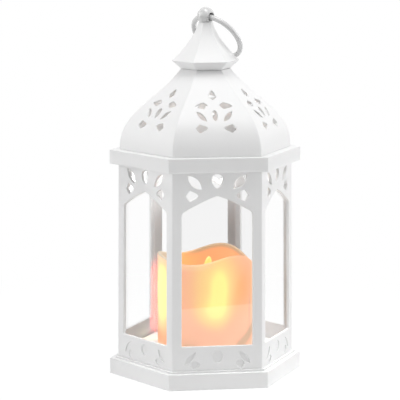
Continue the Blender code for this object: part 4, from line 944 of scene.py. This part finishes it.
rim_height = RIM_MEAN + RIM_SWING * waves(rim_waves, turn)
bore = CANDLE_RADIUS - CANDLE_WALL
middle_radius = (CANDLE_RADIUS + bore) / 2
t = np.linspace(0, np.pi, 11)
wall_up = np.linspace(0.0, 1.0, 26)[:, None]
shrink = 0.00012 * waves(((1, 2, 20), (0.8, 5, 75), (0.6, 7, 10)), turn)
outer_rows = [np.full_like(turn, CANDLE_RADIUS) - INSET + shrink * np.sin(np.pi * h) for h in wall_up[:, 0]]
outer_z = [CANDLE_FOOT + (rim_height - ROUNDING - CANDLE_FOOT) * h for h in wall_up[:, 0]]
cap_rows = [middle_radius + (CANDLE_WALL / 2 - INSET) * np.cos(v) + 0 * turn for v in t[1:-1]]
cap_z = [rim_height - ROUNDING * (1 - math.sin(v)) for v in t[1:-1]]
inner_rows = [bore + INSET + 0 * turn for h in range(15)]
inner_z = [rim_height - ROUNDING + (POOL_SEAT - rim_height + ROUNDING) * h / 14 for h in range(15)]
lower_rows = [bore - LEDGE + 0 * turn] * 2
lower_z = [POOL_SEAT + 0 * turn, CANDLE_FOOT + 0 * turn]
radius = np.array(outer_rows + cap_rows + inner_rows + lower_rows)
height = np.array(outer_z + cap_z + inner_z + lower_z)
tube = np.stack([radius * np.cos(turn), radius * np.sin(turn), height], -1)
finished("candle", [(tube, grid_faces(*tube.shape[:2], True))], glowing_wax, "candle_shell")

POOL_TOP, FLAME_FOOT, FLANGE_TOP, FLAME_HEIGHT, FLAME_RADIUS = 0.0720, 0.0680, 0.0697, 0.0178, 0.0032
t = np.linspace(0, 1, 29)
width = FLAME_RADIUS * np.where(t < 0.2, 1.0, np.maximum(1 - ((t - 0.2) / 0.8) ** 3, 0.0) ** 0.5)
flame_rows = np.concatenate([[(0.0, 0.0746), (0.0018, 0.0746), (0.0018, FLAME_FOOT), (0.0045, FLAME_FOOT),
                              (0.0045, FLANGE_TOP), (FLAME_RADIUS, FLANGE_TOP)],
                             np.stack([width, POOL_TOP + FLAME_HEIGHT * t], 1)])
points, faces = swept(np.column_stack([flame_rows, flame_rows[:, 0]]), 4)
points[..., 0] += 0.0027 * np.clip((points[..., 2] - POOL_TOP) / FLAME_HEIGHT, 0.0, 1.0)
finished("flame", [(points, faces)], frosted_flame, "flame_tip")

# %% [markdown]
# ## Floor, background and light
#
# A product photograph like this has a white sweep under and behind the object. The floor here is a pale
# sheet that is lifted to white wherever it is seen. Mirrored rays find it darker from 0.36 m in front of
# the lantern on, and the edge of that part is the line across the front pane. The sheet's under side is
# clear, and a six-sided opening lies hidden below the skirt, so that the lantern can also be looked at
# from below. The world is white, but dimmer for diffuse rays, or it would wash the faces out.


# %% Make the floor and the background
FLOOR_LEVEL, OPENING, FLOOR_REACH = -0.00003, 0.0737, 5.0
DARK_TURN, DARK_FROM, DARK_TO = 0.24, 0.356, 0.364
corners = np.radians(60 * np.arange(6))
rings = np.array([OPENING, FLOOR_REACH])[:, None]
floor_points = np.stack([rings * np.cos(corners), rings * np.sin(corners),
                         FLOOR_LEVEL + 0 * rings * corners], -1)
floor_mesh = bpy.data.meshes.new("floor")
floor_mesh.from_pydata(floor_points.reshape(-1, 3).tolist(), [], grid_faces(2, 6, False)[:, ::-1].tolist())
floor = put("floor", floor_mesh)
paper = Finish("paper floor")
seen = paper.node("ShaderNodeLightPath", out="Is Camera Ray")
reflected = paper.node("ShaderNodeLightPath", out="Is Glossy Ray")
passed = paper.node("ShaderNodeLightPath", out="Is Transmission Ray")
floor_x, floor_y, _ = paper.parts(paper.place())
away = paper.ramp((floor_x * floor_x + floor_y * floor_y) ** 0.5, 0.12, 0.40)
in_front = paper.ramp(-floor_y - DARK_TURN * floor_x, DARK_FROM, DARK_TO)
brightness = (seen + passed) * (0.93 + 0.07 * away) + reflected * (1.0 - 0.80 * in_front)
lift = paper.node("ShaderNodeEmission", None, {"Color": (1.0, 1.0, 1.0), "Strength": brightness})
sheet = paper.node("ShaderNodeBsdfDiffuse", None, {"Color": (0.85, 0.85, 0.85)})
faint = paper.node("ShaderNodeBsdfDiffuse", None, {"Color": (0.10, 0.10, 0.10)})
shaded = paper.node("ShaderNodeAddShader", None, {0: lift, 1: faint})
lifted = paper.node("ShaderNodeMixShader", None, {0: paper.node("ShaderNodeMath", {"operation": "MAXIMUM"}, {
    0: away, 1: reflected}), 1: shaded, 2: lift})
one_sided = paper.node("ShaderNodeNewGeometry", out="Backfacing")
from_below = paper.node("ShaderNodeBsdfTransparent", None, {"Color": (1.0, 1.0, 1.0)})
top_side = paper.node("ShaderNodeMixShader", None, {0: seen + reflected + passed, 1: sheet, 2: lifted})
floor_mesh.materials.append(paper.surface(paper.node("ShaderNodeMixShader", None, {
    0: one_sided, 1: top_side, 2: from_below})))
print("floor faces up:", floor_mesh.polygons[0].normal.z > 0)

world = bpy.data.worlds.new("studio")
bpy.context.scene.world = world
world.use_nodes = True
tree = world.node_tree
background = tree.nodes["Background"]
rays = tree.nodes.new("ShaderNodeLightPath")
level = tree.nodes.new("ShaderNodeMapRange")
level.inputs["To Min"].default_value = 1.0
level.inputs["To Max"].default_value = 0.33
tree.links.new(rays.outputs["Is Diffuse Ray"], level.inputs["Value"])
background.inputs["Color"].default_value = (1.0, 1.0, 1.0, 1.0)
tree.links.new(level.outputs[0], background.inputs["Strength"])
print("floor and background")

# %% [markdown]
# The lamps are large and soft: the strongest from the right and from above, weaker from the left, almost
# none from the front. Little light finds its way into a real cage through six windows, and less still in a
# render that follows each ray a few times only, so small soft lamps inside stand for the light that a
# white moulding passes round itself.


# %% Set up the lamps
def lamp(name, place, aim_at, size, power, colour=(1.0, 1.0, 1.0), tall=None, spread=180.0):
    """A soft lamp, square or of its own height, that looks at a point."""
    data = bpy.data.lights.new(name, "AREA")
    data.size, data.energy, data.color = size, power, colour
    data.spread = math.radians(spread)
    if tall:
        data.shape, data.size_y = "RECTANGLE", tall
    made = put(name, data)
    made.location = place
    made.rotation_euler = (Vector(aim_at) - Vector(place)).to_track_quat("-Z", "Y").to_euler()
    made.visible_camera = False


middle = (0.0, 0.0, 0.14)
lamp("left lamp", (-1.54, 0.135, 0.554), middle, 1.0, 7.4)
lamp("right lamp", (1.54, -0.135, 0.554), middle, 1.0, 9.1)
lamp("overhead lamp", (0.0, -0.50, 1.86), middle, 1.0, 17.0)
lamp("top lamp", (0.0, -0.06, 1.94), middle, 1.2, 2.4)
lamp("rear lamp", (1.22, 1.03, 0.72), middle, 1.0, 0.4)
lamp("cage lamp", (0.012, 0.0, 0.165), (0.012, 0.0, 0.0), 0.13, 0.07, spread=50.0)
lamp("dome lamp", (0.0, 0.0, 0.145), (0.0, 0.0, 1.0), 0.04, 0.007)
lamp("left band lamp", (-0.018, 0.000, 0.160), (-0.050, 0.020, 0.148), 0.02, 0.008, spread=70.0)
lamp("right band lamp", (0.018, 0.000, 0.160), (0.050, 0.020, 0.148), 0.02, 0.005, spread=70.0)
lamp("rear band lamp", (0.008, 0.006, 0.162), (0.016, 0.055, 0.150), 0.02, 0.006, spread=64.0)
lamp("rear left band lamp", (-0.008, 0.010, 0.160), (-0.029, 0.050, 0.148), 0.02, 0.006, spread=70.0)
lamp("tray lamp", (0.043, 0.030, 0.080), (0.045, 0.034, 0.0), 0.012, 0.004, spread=60.0)
lamp("rear post lamp", (-0.006, 0.0525, 0.112), (0.045, 0.040, 0.112), 0.005, 0.0008, tall=0.04,
     spread=100.0)
lamp("glow on the rear post", (-0.0195, 0.0340, 0.048), (-0.034, 0.059, 0.048), 0.008, 0.005,
     (1.0, 0.06, 0.03), 0.050, 45.0)
lamp("glow on the floor", (-0.0345, 0.0300, 0.040), (-0.0375, 0.0330, 0.019), 0.006, 0.0004,
     (1.0, 0.85, 0.30), spread=60.0)

# %% Set the view transform
bpy.context.scene.view_settings.view_transform = "Standard"
